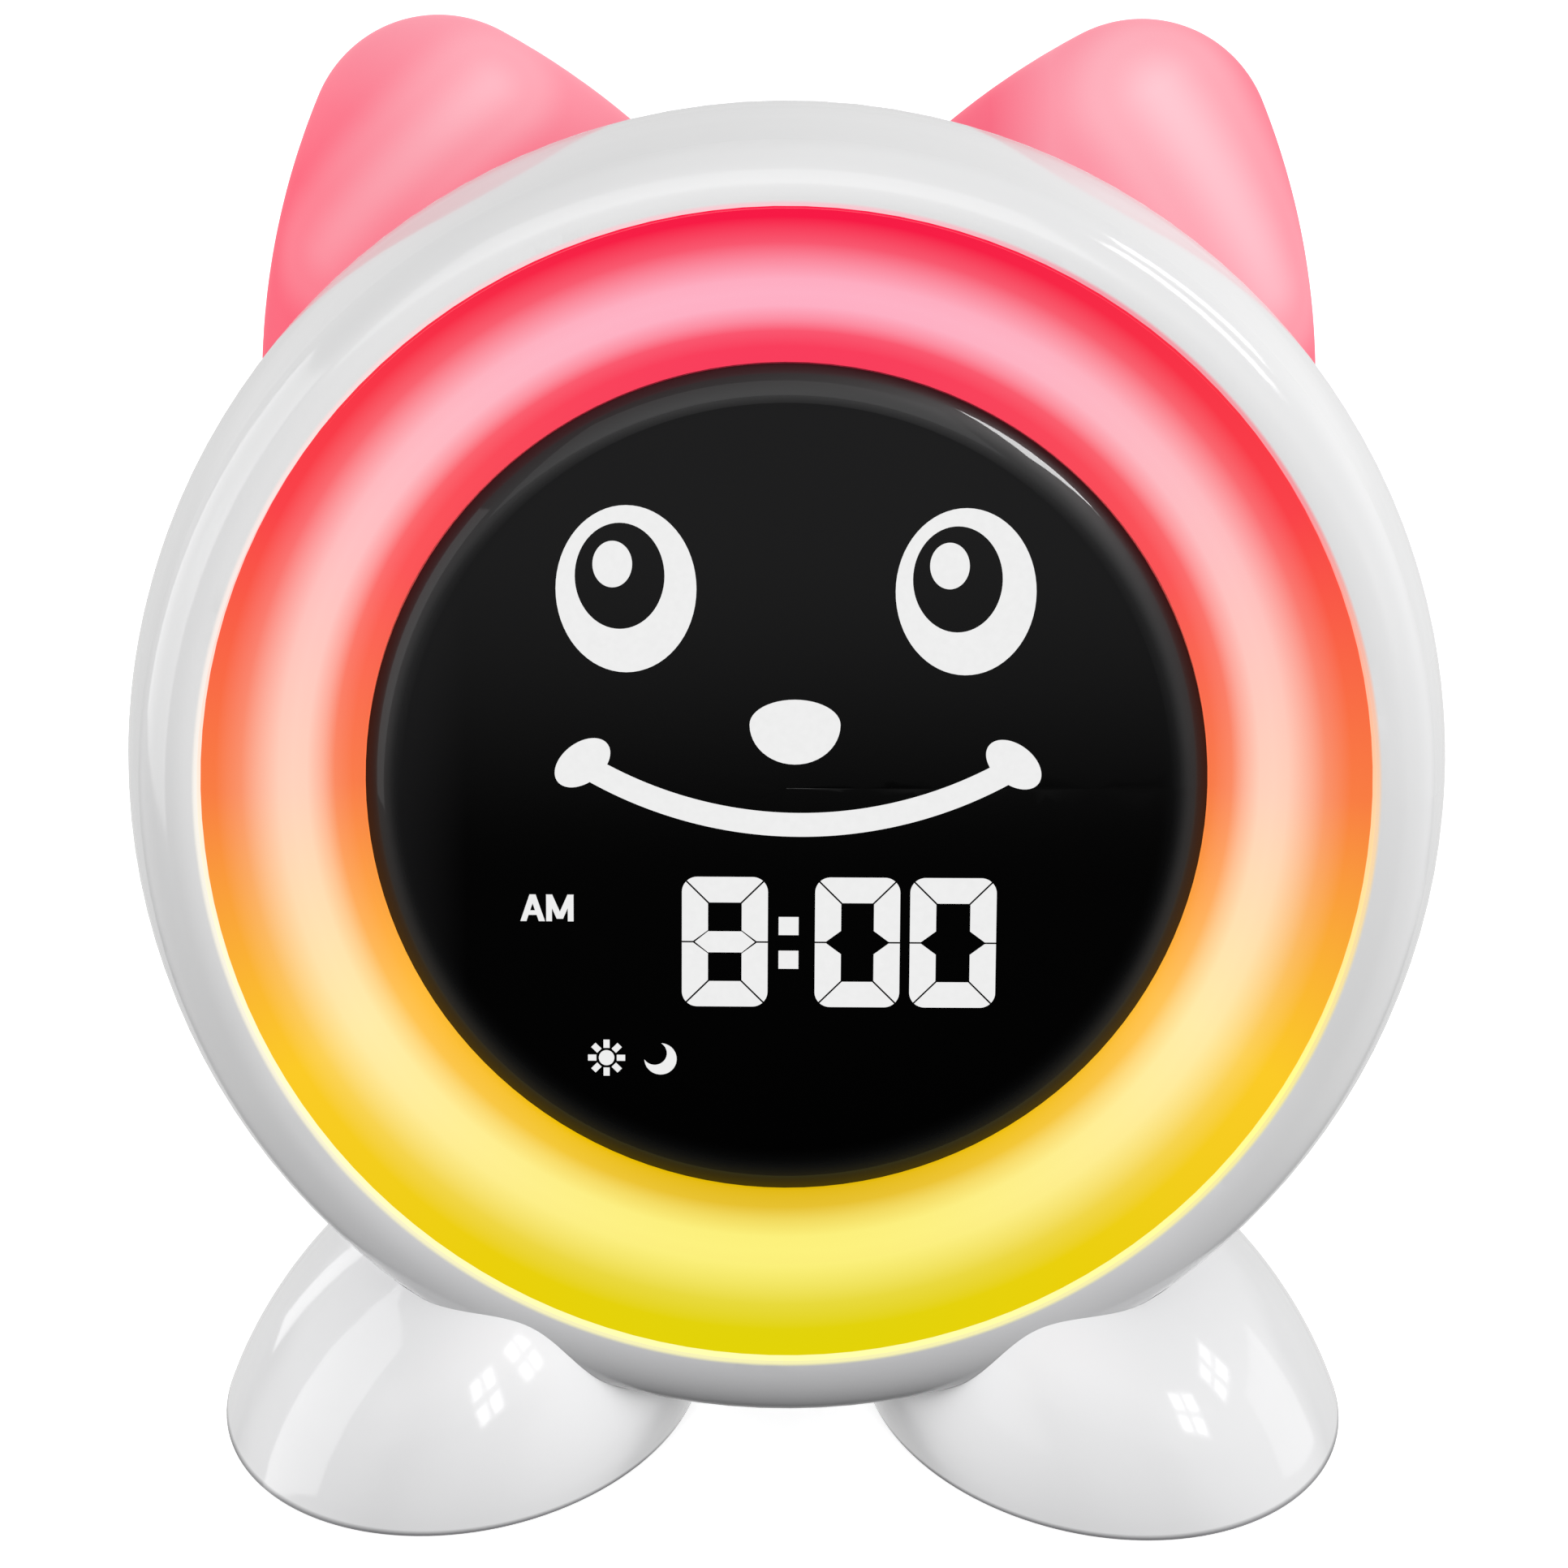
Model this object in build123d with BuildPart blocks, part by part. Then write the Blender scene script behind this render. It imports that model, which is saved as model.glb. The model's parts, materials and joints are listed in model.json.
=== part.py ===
from build123d import *
from math import acos, asin, cos, degrees, radians, sin, sqrt
import os

os.makedirs("parts", exist_ok=True)

# ---------------------------------------------------------------------------
# Driving dimensions, millimetres and degrees.
# +Z is up and the clock faces -Y. The origin is on the table, under the
# middle of the overall box.
# ---------------------------------------------------------------------------

# Head: a round casing turned about the face axis, leaning back a little
head_radius = 65.0
head_side_radius = 42.5
head_clearance = 5.0
head_tilt = 10.35
head_to_middle = 5.2
rear_depth = 35.0
rear_edge_radius = 3.0
bezel_radius = 5.0
bezel_turn = 20.6
shell_wall = 2.6
parting_groove = 0.3
fit_gap = 0.1

# Light ring and lens
lip_inset = 8.7
lip_thickness = 2.8
ring_edge_gap = 0.3
ring_outer_depth = 17.2
ring_width = 15.0
ring_inner_depth = 11.0
ring_crown = 1.4
ring_wall = 2.1
ring_flange_width = 2.2
ring_flange = 1.6
lens_gap = 0.15
lens_crown = 0.8
lens_face_depth = 13.2
lens_edge_width = 3.6
lens_edge_depth = 10.7
lens_back_depth = 9.7
film_thickness = 0.2
film_margin = 0.7

# Display board and light-well block
board_front_depth = 3.6
board_thickness = 1.6
board_inset = 10.0
well_block_margin = 1.9
well_rim_margin = 0.3
well_rim_height = 0.7
well_flange = 1.2
well_flange_margin = 0.4
ring_led_count = 16
ring_led_size = 5.0
ring_led_height = 1.6
display_led_length = 1.6
display_led_width = 0.8
display_led_height = 0.6
chip_length = 10.0
chip_width = 6.0
chip_height = 1.6
chip_spread = 12.0

# Face layout, across and up from the face axis
eye_spread = 16.3
eye_height = 19.2
eye_width = 13.4
eye_tall = 16.2
nose_height = 5.4
nose_width = 8.8
nose_tall = 6.2
mouth_half_width = 18.2
mouth_end_height = 0.9
mouth_dip = 4.6
mouth_stroke = 2.4
digit_width = 8.4
digit_tall = 13.0
digit_stroke = 2.2
digit_gap = 0.5
digit_height = -15.5
hours_place = -5.9
tens_place = 7.0
units_place = 16.3
leading_one_place = -13.6
colon_place = 0.3
colon_spread = 3.4
colon_dot = 2.0
meridiem_place = -23.2
meridiem_height = -12.2
meridiem_width = 5.6
meridiem_tall = 3.0
sun_place = -17.4
moon_place = -12.3
small_icon_height = -27.3
small_icon_radius = 1.9

# Screws
shell_screw_inset = 5.6
shell_screw_count = 4
shell_boss_radius = 2.8
shell_well_radius = 2.4
shell_well_wall = 1.3
shell_well_floor = 12.0
shell_screw_end_gap = 1.0
screw_hole_radius = 1.4
screw_thread_radius = 1.1
screw_head_radius = 2.1
screw_head_height = 1.5
board_screw_inset = 6.4
board_tab_radius = 2.6
board_screw_length = 8.0
pillar_top = 13.0

# Ears
ear_across = 21.66
ear_drop = 45.0
ear_set_back = 20.0
ear_lean = 19.34
ear_length = 54.64
ear_tip_radius = 13.32
ear_tip_turn = 47.4
ear_side_radius = 75.93
ear_root = 18.0
ear_flatness = 0.5
ear_wall = 2.2
ear_neck_across = 11.0
ear_neck_deep = 5.5
ear_neck_wall = 1.6
ear_neck_bottom = 22.0
ear_cavity_bottom = 38.0
ear_cavity_top = 50.0
ear_board_thickness = 1.2
ear_led_size = 3.5
ear_led_height = 1.4

# Feet
foot_spread = 33.3
foot_half_length = 32.5
foot_half_width = 24.3
foot_toe_out = 11.0
foot_dome_drop = 39.0
foot_inward_lean = 0.33
foot_forward_lean = 0.2
foot_top_drop = 2.5
foot_wall = 3.0
foot_cavity_top = 12.0
foot_lift = 0.5
sole_thickness = 3.0
sole_edge_gap = 0.15
foot_screw_across = 30.0
foot_screw_back = 10.0
foot_boss_radius = 4.0
foot_screw_seat = 7.0
foot_screw_length = 15.0
foot_boss_cover = 5.0
sole_boss_offset = 17.0
sole_boss_radius = 2.6
sole_screw_length = 5.0
sole_screw_cover = 1.0
sole_screw_head = 1.2
screw_slack = 0.3
foot_skin_turn = 70.0
pad_radius = 6.0
pad_thickness = 1.1

# Rear panel: battery bay, keys, speaker, power inlet and slide switch
panel_wall = 2.4
battery_radius = 5.25
battery_length = 43.2
battery_nub_radius = 1.9
battery_nub_length = 1.3
battery_pitch = 11.0
battery_count = 3
bay_side_gap = 0.45
contact_room = 3.5
bay_middle = -13.5
bay_slack = 0.7
bay_wall = 1.6
door_thickness = 1.6
door_ledge = 2.2
door_head = 5.5
door_corner = 4.0
door_gap = 0.15
door_screw_head = 1.0
door_screw_length = 5.0
door_boss_cover = 1.0
door_rib_count = 4
door_rib_height = 0.5
door_rib_width = 0.8
door_rib_pitch = 2.0
battery_gap = 0.2
plate_width = 7.0
plate_thickness = 0.3
spring_width = 4.0
key_radius = 4.0
key_circle_radius = 34.0
key_first_angle = 8.0
key_step_angle = 21.0
key_gap = 0.12
key_proud = 1.2
key_flange_radius = 5.0
key_flange = 1.2
key_dish = 0.3
key_travel = 0.8
key_seat_gap = 0.05
tact_size = 6.0
tact_body_height = 3.5
tact_plunger_radius = 1.7
tact_plunger_height = 0.8
main_board_radius = 39.5
main_board_thickness = 1.6
main_board_gap = 0.6
post_radius = 2.3
post_high_across = 13.5
post_high_up = 34.0
post_low_across = 27.0
post_low_up = -24.0
main_screw_length = 5.0
speaker_gap = 0.1
speaker_radius = 10.0
speaker_rim = 1.0
speaker_basket_height = 3.2
speaker_back = 0.8
speaker_cone_radius = 4.0
speaker_cone_wall = 0.4
speaker_magnet_radius = 6.5
speaker_magnet_height = 3.0
speaker_rib_wall = 1.2
speaker_rib_height = 2.5
grille_slot_width = 1.8
grille_slot_pitch = 3.4
grille_slots = 5
grille_radius = 8.5
inlet_across = -28.0
inlet_up = -8.0
inlet_width = 8.94
inlet_tall = 3.2
inlet_wall = 0.35
inlet_gap = 0.2
inlet_recess = 0.4
inlet_bore = 6.0
inlet_tongue_width = 6.0
inlet_tongue = 0.7
inlet_tongue_length = 5.0
switch_across = 28.0
switch_up = -10.0
switch_travel = 4.0
switch_nub = 4.0
switch_gap = 0.15
switch_proud = 1.0
switch_plate_width = 6.4
switch_plate = 1.0
switch_stem = 2.0
switch_body_width = 4.6
switch_body_length = 9.0
switch_body_height = 3.4
cable_width = 12.0
cable_thickness = 0.4
cable_above_slot = 11.3
cable_slack = 8.0
cable_bend = 2.5
cable_socket_width = 14.0
cable_socket_tall = 4.0
cable_socket_height = 2.4

# ---------------------------------------------------------------------------
# Reference planes and derived places
# ---------------------------------------------------------------------------

head_centre_height = head_radius + head_clearance
head_middle = (0, -head_to_middle, head_centre_height)
face = Plane(
    origin=head_middle,
    x_dir=(1, 0, 0),
    z_dir=(0, -cos(radians(head_tilt)), sin(radians(head_tilt))),
)
face_axis = Axis(face.origin, face.z_dir)
# Section plane for turned pieces: X is the radius and Y is the depth forwards
section = Plane(origin=head_middle, x_dir=(1, 0, 0), z_dir=-face.y_dir)

side_centre = head_radius - head_side_radius
lip_radius = head_radius - lip_inset
bezel_centre_radius = side_centre + (head_side_radius - bezel_radius) * cos(radians(bezel_turn))
bezel_centre_depth = (head_side_radius - bezel_radius) * sin(radians(bezel_turn))
lip_turn = degrees(acos((lip_radius - bezel_centre_radius) / bezel_radius))
lip_depth = bezel_centre_depth + bezel_radius * sin(radians(lip_turn))
ring_seat_depth = lip_depth - lip_thickness
panel_inner = -rear_depth + panel_wall
rear_round_depth = -rear_depth + rear_edge_radius
rear_round_radius = side_centre + sqrt(
    (head_side_radius - rear_edge_radius) ** 2 - rear_round_depth**2
)
rear_round_turn = degrees(asin(-rear_round_depth / (head_side_radius - rear_edge_radius)))
ring_outer_radius = lip_radius - ring_edge_gap
ring_inner_radius = ring_outer_radius - ring_width
ring_flange_radius = ring_outer_radius + ring_flange_width
lens_radius = ring_inner_radius - lens_gap
film_radius = lens_radius - film_margin
well_block_radius = lens_radius + well_block_margin
well_rim_radius = lens_radius - well_rim_margin
ring_led_circle_radius = (ring_outer_radius + ring_inner_radius) / 2
board_radius = head_radius - board_inset
well_flange_radius = board_radius - well_flange_margin
shell_screw_circle_radius = head_radius - shell_screw_inset
board_screw_circle_radius = head_radius - board_screw_inset
film_front = lens_back_depth
block_front = film_front - film_thickness
board_back_depth = board_front_depth - board_thickness
door_plane_depth = -rear_depth + door_thickness
battery_stretch = battery_length + battery_nub_length
bay_width = (battery_count - 1) * battery_pitch + 2 * battery_radius + 2 * bay_side_gap
bay_length = battery_stretch + contact_room
bay_floor_depth = door_plane_depth + 2 * battery_radius + bay_slack
tub_front_depth = bay_floor_depth + bay_wall
door_width = bay_width + 2 * door_ledge
door_bottom = bay_middle - bay_length / 2 - door_ledge
door_top = bay_middle + bay_length / 2 + door_head
door_length = door_top - door_bottom
door_middle = (door_top + door_bottom) / 2
door_screw_up = bay_middle + bay_length / 2 + door_head / 2
key_rest_depth = panel_inner + key_seat_gap
speaker_ring_radius = speaker_radius + fit_gap + speaker_rib_wall
speaker_up = door_top + door_ledge / 2 + speaker_ring_radius + speaker_gap
plunger_tip_depth = key_rest_depth + key_flange + key_travel + fit_gap
main_board_rear = plunger_tip_depth + tact_plunger_height + tact_body_height
main_board_front = main_board_rear + main_board_thickness
key_names = ["time", "alarm", "up", "down", "light", "sound"]
key_angles = [180 - key_first_angle - key_step_angle * i for i in (2, 1, 0)]
key_angles += [key_first_angle + key_step_angle * i for i in (0, 1, 2)]


def polar(radius, angle, middle=(0, 0)):
    """A point at a radius and angle from a middle."""
    return (
        middle[0] + radius * cos(radians(angle)),
        middle[1] + radius * sin(radians(angle)),
    )


def side_point(angle, inset=0.0):
    """A point on the casing's side curve, inset from its surface."""
    return polar(head_side_radius - inset, angle, (side_centre, 0))


# ---------------------------------------------------------------------------
# Outer forms of the two head halves, used to trim what meets the head
# ---------------------------------------------------------------------------

bezel_middle = (bezel_centre_radius, bezel_centre_depth)
rear_middle = (rear_round_radius, rear_round_depth)


def front_outline(start):
    """Side curve and bullnose from the parting plane to the lip."""
    ThreePointArc(start, side_point(bezel_turn / 2), side_point(bezel_turn))
    ThreePointArc(
        side_point(bezel_turn),
        polar(bezel_radius, (bezel_turn + lip_turn) / 2, bezel_middle),
        (lip_radius, lip_depth),
    )


def rear_outline(start):
    """Side curve and edge round from the parting plane to the rear panel."""
    ThreePointArc(start, side_point(-rear_round_turn / 2), side_point(-rear_round_turn))
    ThreePointArc(
        side_point(-rear_round_turn),
        polar(rear_edge_radius, -(rear_round_turn + 90) / 2, rear_middle),
        (rear_round_radius, -rear_depth),
    )


with BuildPart() as front_form:
    with BuildSketch(section):
        with BuildLine():
            front_outline((head_radius, 0))
            Polyline((lip_radius, lip_depth), (0, lip_depth), (0, 0), (head_radius, 0))
        make_face()
    revolve(axis=face_axis)

with BuildPart() as rear_form:
    with BuildSketch(section):
        with BuildLine():
            rear_outline((head_radius, 0))
            Polyline((rear_round_radius, -rear_depth), (0, -rear_depth), (0, 0), (head_radius, 0))
        make_face()
    revolve(axis=face_axis)

with BuildPart() as head_form:
    add(front_form.part)
    add(rear_form.part)


# ---------------------------------------------------------------------------
# Front shell: bullnose bezel, ring lip, screw bosses and board pillars
# ---------------------------------------------------------------------------

groove_angle = degrees(asin(parting_groove / head_side_radius))

with BuildPart() as front_shell:
    with BuildSketch(section):
        with BuildLine():
            front_outline(side_point(groove_angle))
            Polyline(
                (lip_radius, lip_depth),
                (lip_radius, ring_seat_depth),
                (ring_flange_radius + fit_gap, ring_seat_depth),
                side_point(bezel_turn / 2, shell_wall + parting_groove),
                (head_radius - shell_wall, 0),
                (head_radius - parting_groove, 0),
                side_point(groove_angle),
            )
        make_face()
    revolve(axis=face_axis)
    with BuildSketch(face):
        with PolarLocations(shell_screw_circle_radius, shell_screw_count):
            Circle(shell_boss_radius)
    extrude(amount=pillar_top)
    with BuildSketch(face.offset(board_front_depth)):
        with PolarLocations(board_screw_circle_radius, 4, start_angle=45):
            Circle(board_tab_radius)
    extrude(amount=pillar_top - board_front_depth)
    with BuildSketch(face):
        with PolarLocations(shell_screw_circle_radius, shell_screw_count):
            Circle(screw_thread_radius)
        with PolarLocations(board_screw_circle_radius, 4, start_angle=45):
            Circle(screw_thread_radius)
    extrude(amount=pillar_top - ring_flange, mode=Mode.SUBTRACT)
front_shell.part.label = "front_shell"
export_step(front_shell.part, "parts/front_shell.step")

# ---------------------------------------------------------------------------
# Light ring: a crowned opal band that slopes in to the lens
# ---------------------------------------------------------------------------

ring_mid = (
    (ring_outer_radius + ring_inner_radius) / 2,
    (ring_outer_depth + ring_inner_depth) / 2 + ring_crown,
)
ring_flange_front = ring_seat_depth - fit_gap
ring_flange_rear = ring_flange_front - ring_flange
ring_skirt_rear = ring_inner_depth - ring_wall
ring_skirt_radius = ring_inner_radius + ring_wall

with BuildPart() as light_ring:
    with BuildSketch(section):
        with BuildLine():
            ThreePointArc(
                (ring_outer_radius, ring_outer_depth),
                ring_mid,
                (ring_inner_radius, ring_inner_depth),
            )
            Polyline(
                (ring_inner_radius, ring_inner_depth),
                (ring_inner_radius, ring_skirt_rear),
                (ring_skirt_radius, ring_skirt_rear),
                (ring_mid[0], ring_mid[1] - ring_wall),
                (ring_outer_radius - ring_wall, ring_flange_rear),
                (ring_flange_radius, ring_flange_rear),
                (ring_flange_radius, ring_flange_front),
                (ring_outer_radius, ring_flange_front),
                (ring_outer_radius, ring_outer_depth),
            )
        make_face()
    revolve(axis=face_axis)
light_ring.part.label = "light_ring"
export_step(light_ring.part, "parts/light_ring.step")

# ---------------------------------------------------------------------------
# Display lens: a smoked disc with a slight crown and a rounded edge
# ---------------------------------------------------------------------------

lens_flat_radius = lens_radius - lens_edge_width
lens_shoulder = lens_face_depth - lens_crown

with BuildPart() as display_lens:
    with BuildSketch(section):
        with BuildLine():
            ThreePointArc(
                (0, lens_face_depth),
                (lens_flat_radius / 2, lens_face_depth - lens_crown / 4),
                (lens_flat_radius, lens_shoulder),
            )
            TangentArc(
                (lens_flat_radius, lens_shoulder),
                (lens_radius, lens_edge_depth),
                tangent=(lens_flat_radius, -2 * lens_crown),
            )
            Polyline(
                (lens_radius, lens_edge_depth),
                (lens_radius, lens_back_depth),
                (0, lens_back_depth),
                (0, lens_face_depth),
            )
        make_face()
    revolve(axis=face_axis)
display_lens.part.label = "display_lens"
export_step(display_lens.part, "parts/display_lens.step")

with BuildPart() as legend_film:
    with BuildSketch(face.offset(block_front)):
        Circle(film_radius)
    extrude(amount=film_thickness)
legend_film.part.label = "legend_film"
export_step(legend_film.part, "parts/legend_film.step")

# ---------------------------------------------------------------------------
# Light-well block: one well behind each lit shape, and windows for the ring
# ---------------------------------------------------------------------------

bar_half = digit_width / 2 - digit_stroke - digit_gap / 2
post_half = (digit_tall - digit_stroke) / 4 - digit_stroke / 2 - digit_gap / 2
digit_side = (digit_width - digit_stroke) / 2
digit_rise = (digit_tall - digit_stroke) / 2

# Segment middles of a seven-segment digit, with True for an upright one
level_segments = [(0, digit_rise), (0, 0), (0, -digit_rise)]
upright_segments = [
    (side * digit_side, level * digit_rise / 2) for side in (-1, 1) for level in (-1, 1)
]


def segment_outline(half_length, upright):
    """Pointed bar of one digit segment."""
    tip = half_length + digit_stroke / 2
    half = digit_stroke / 2
    corners = [(-tip, 0), (-half_length, half), (half_length, half), (tip, 0)]
    corners += [(half_length, -half), (-half_length, -half)]
    Polygon(*corners, rotation=90 if upright else 0, align=None)


def digit_wells(place):
    """Seven wells of one digit."""
    for across, up in level_segments:
        with Locations((place + across, digit_height + up)):
            segment_outline(bar_half, False)
    for across, up in upright_segments:
        with Locations((place + across, digit_height + up)):
            segment_outline(post_half, True)


def mouth_well():
    """Curved slot of the mouth."""
    arc = Edge.make_three_point_arc(
        (-mouth_half_width, mouth_end_height),
        (0, mouth_end_height - mouth_dip),
        (mouth_half_width, mouth_end_height),
    )
    SlotArc(arc, mouth_stroke)


with BuildPart() as light_frame:
    with BuildSketch(face.offset(board_front_depth)):
        Circle(well_flange_radius)
    extrude(amount=well_flange)
    with BuildSketch(face.offset(board_front_depth)):
        Circle(well_block_radius)
    extrude(amount=block_front - well_rim_height - board_front_depth)
    with BuildSketch(face.offset(board_front_depth)):
        Circle(well_rim_radius)
    extrude(amount=block_front - board_front_depth)
    with BuildSketch(face.offset(board_front_depth)):
        with Locations((-eye_spread, eye_height), (eye_spread, eye_height)):
            Ellipse(eye_width / 2, eye_tall / 2)
        with Locations((0, nose_height)):
            Ellipse(nose_width / 2, nose_tall / 2)
        mouth_well()
        digit_wells(hours_place)
        digit_wells(tens_place)
        digit_wells(units_place)
        for level in (-1, 1):
            with Locations((leading_one_place, digit_height + level * digit_rise / 2)):
                segment_outline(post_half, True)
            with Locations((colon_place, digit_height + level * colon_spread / 2)):
                Rectangle(colon_dot, colon_dot)
        with Locations((meridiem_place, meridiem_height)):
            Rectangle(meridiem_width, meridiem_tall)
        with Locations((sun_place, small_icon_height), (moon_place, small_icon_height)):
            Circle(small_icon_radius)
    extrude(amount=block_front - board_front_depth, mode=Mode.SUBTRACT)
    with BuildSketch(face.offset(board_front_depth)):
        with PolarLocations(ring_led_circle_radius, ring_led_count):
            Rectangle(ring_led_size + 2 * fit_gap, ring_led_size + 2 * fit_gap)
    extrude(amount=well_flange, mode=Mode.SUBTRACT)
light_frame.part.label = "light_frame"
export_step(light_frame.part, "parts/light_frame.step")

# ---------------------------------------------------------------------------
# LED board, its lamps and drivers
# ---------------------------------------------------------------------------

with BuildPart() as led_board:
    with BuildSketch(face.offset(board_back_depth)):
        Circle(board_radius)
        with PolarLocations(board_screw_circle_radius - board_tab_radius, 4, start_angle=45):
            SlotOverall(4 * board_tab_radius, 2 * board_tab_radius)
        with PolarLocations(board_screw_circle_radius, 4, start_angle=45):
            Circle(screw_thread_radius, mode=Mode.SUBTRACT)
    extrude(amount=board_thickness)
led_board.part.label = "led_board"
export_step(led_board.part, "parts/led_board.step")

with BuildPart() as ring_leds:
    with BuildSketch(face.offset(board_front_depth)):
        with PolarLocations(ring_led_circle_radius, ring_led_count):
            Rectangle(ring_led_size, ring_led_size)
    extrude(amount=ring_led_height)
ring_leds.part.label = "ring_leds"
export_step(ring_leds.part, "parts/ring_leds.step")

eye_led_rise = eye_tall / 4
mouth_middle = mouth_end_height - mouth_dip

with BuildPart() as display_leds:
    with BuildSketch(face.offset(board_front_depth)):
        for side in (-1, 1):
            for level in (-1, 1):
                with Locations((side * eye_spread, eye_height + level * eye_led_rise)):
                    Rectangle(display_led_length, display_led_width)
        with Locations((0, nose_height), (0, mouth_middle)):
            Rectangle(display_led_length, display_led_width)
        for place in (hours_place, tens_place, units_place):
            for across, up in level_segments:
                with Locations((place + across, digit_height + up)):
                    Rectangle(display_led_length, display_led_width)
            for across, up in upright_segments:
                with Locations((place + across, digit_height + up)):
                    Rectangle(display_led_width, display_led_length)
        for level in (-1, 1):
            with Locations((leading_one_place, digit_height + level * digit_rise / 2)):
                Rectangle(display_led_width, display_led_length)
            with Locations((colon_place, digit_height + level * colon_spread / 2)):
                Rectangle(display_led_length, display_led_width)
        with Locations((meridiem_place, meridiem_height)):
            Rectangle(display_led_length, display_led_width)
        with Locations((sun_place, small_icon_height), (moon_place, small_icon_height)):
            Rectangle(display_led_length, display_led_width)
    extrude(amount=display_led_height)
display_leds.part.label = "display_leds"
export_step(display_leds.part, "parts/display_leds.step")

with BuildPart() as led_drivers:
    with BuildSketch(face.offset(board_back_depth - chip_height)):
        with Locations((-chip_spread, chip_spread), (chip_spread, chip_spread)):
            Rectangle(chip_length, chip_width)
    extrude(amount=chip_height)
led_drivers.part.label = "led_drivers"
export_step(led_drivers.part, "parts/led_drivers.step")


with BuildPart() as board_screws:
    with BuildSketch(face.offset(board_back_depth)):
        with PolarLocations(board_screw_circle_radius, 4, start_angle=45):
            Circle(screw_head_radius)
    extrude(amount=-screw_head_height)
    with BuildSketch(face.offset(board_back_depth)):
        with PolarLocations(board_screw_circle_radius, 4, start_angle=45):
            Circle(screw_thread_radius)
    extrude(amount=board_screw_length)
board_screws.part.label = "board_screws"
export_step(board_screws.part, "parts/board_screws.step")

# ---------------------------------------------------------------------------
# Ears: hollow pink domes, each with a neck through the rear shell
# ---------------------------------------------------------------------------

ear_tip_middle = (0, ear_length - ear_tip_radius)
ear_join = polar(ear_tip_radius, 90 - ear_tip_turn, ear_tip_middle)
ear_side_middle = polar(ear_side_radius, -90 - ear_tip_turn, ear_join)


def ear_reach(height, inset=0.0):
    """Ear radius at a height along its axis."""
    reach = (ear_side_radius - inset) ** 2 - (height - ear_side_middle[1]) ** 2
    return ear_side_middle[0] + sqrt(reach)


with BuildPart() as ear_form:
    with BuildSketch(Plane.XZ):
        with BuildLine():
            ThreePointArc(
                (0, ear_length),
                polar(ear_tip_radius, 90 - ear_tip_turn / 2, ear_tip_middle),
                ear_join,
            )
            ear_side_mid = (ear_root + ear_join[1]) / 2
            ThreePointArc(
                ear_join,
                (ear_reach(ear_side_mid), ear_side_mid),
                (ear_reach(ear_root), ear_root),
            )
            Polyline(
                (ear_reach(ear_root), ear_root),
                (0, ear_root),
                (0, ear_length),
            )
        make_face()
    revolve(axis=Axis.Z)
    scale(by=(1, ear_flatness, 1))


def ear_plane(side, height=0.0):
    """Plane across an ear's axis: Z along the ear, Y to the front or the back."""
    lean = radians(ear_lean)
    along = face.x_dir * (side * sin(lean)) + face.y_dir * cos(lean)
    root = face.from_local_coords(Vector(side * ear_across, head_radius - ear_drop, -ear_set_back))
    across = along.cross(face.z_dir) * -side
    return Plane(origin=root + along * height, x_dir=across, z_dir=along)


def ear_cavity_section(height):
    """Ellipse inside the ear wall at a height along the ear's axis."""
    reach = ear_reach(height)
    Ellipse(reach - ear_wall, reach * ear_flatness - ear_wall)


for side, name in ((-1, "ear_left"), (1, "ear_right")):
    with BuildPart(ear_plane(side)) as ear_blank:
        add(ear_form.part)
    with BuildPart() as ear:
        add(ear_blank.part)
        add(head_form.part, mode=Mode.SUBTRACT)
        with BuildSketch(ear_plane(side, ear_neck_bottom)):
            Ellipse(ear_neck_across, ear_neck_deep)
        extrude(amount=ear_cavity_bottom - ear_neck_bottom)
        with BuildSketch(ear_plane(side, ear_neck_bottom)):
            Ellipse(ear_neck_across - ear_neck_wall, ear_neck_deep - ear_neck_wall)
        extrude(amount=ear_cavity_bottom - ear_neck_bottom, mode=Mode.SUBTRACT)
        for height in (ear_cavity_bottom, (ear_cavity_bottom + ear_cavity_top) / 2, ear_cavity_top):
            with BuildSketch(ear_plane(side, height)):
                ear_cavity_section(height)
        loft(ruled=True, mode=Mode.SUBTRACT)
    ear.part.label = name
    export_step(ear.part, f"parts/{name}.step")

with BuildPart() as ear_boards:
    for side in (-1, 1):
        with BuildSketch(ear_plane(side, ear_neck_bottom - ear_board_thickness)):
            Ellipse(ear_neck_across, ear_neck_deep)
    extrude(amount=ear_board_thickness)
ear_boards.part.label = "ear_boards"
export_step(ear_boards.part, "parts/ear_boards.step")

with BuildPart() as ear_leds:
    for side in (-1, 1):
        with BuildSketch(ear_plane(side, ear_neck_bottom)):
            Rectangle(ear_led_size, ear_led_size)
    extrude(amount=ear_led_height)
ear_leds.part.label = "ear_leds"
export_step(ear_leds.part, "parts/ear_leds.step")

# ---------------------------------------------------------------------------
# Rear shell: panel, battery tub, posts, screw wells and ear sockets
# ---------------------------------------------------------------------------

rear_inner_turn = degrees(asin(-panel_inner / (head_side_radius - shell_wall)))
rear_inner_points = [side_point(-rear_inner_turn * share, shell_wall) for share in (0, 1 / 3, 2 / 3, 1)]
key_places = [polar(key_circle_radius, angle) for angle in key_angles]
post_places = [
    (-post_high_across, post_high_up),
    (post_high_across, post_high_up),
    (-post_low_across, post_low_up),
    (post_low_across, post_low_up),
]
tub_width = bay_width + 2 * bay_wall
tub_length = bay_length + 2 * bay_wall
board_slot_top = bay_middle + tub_length / 2 + main_board_gap
foot_screw_y = foot_screw_back - head_to_middle
foot_screw_tip = foot_screw_seat + foot_screw_length
foot_boss_top = foot_screw_tip + foot_boss_cover
foot_screw_places = [(-foot_screw_across, foot_screw_y), (foot_screw_across, foot_screw_y)]
switch_rest = switch_up - switch_travel / 2
door_boss_depth = door_plane_depth + door_screw_length + door_boss_cover

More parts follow.
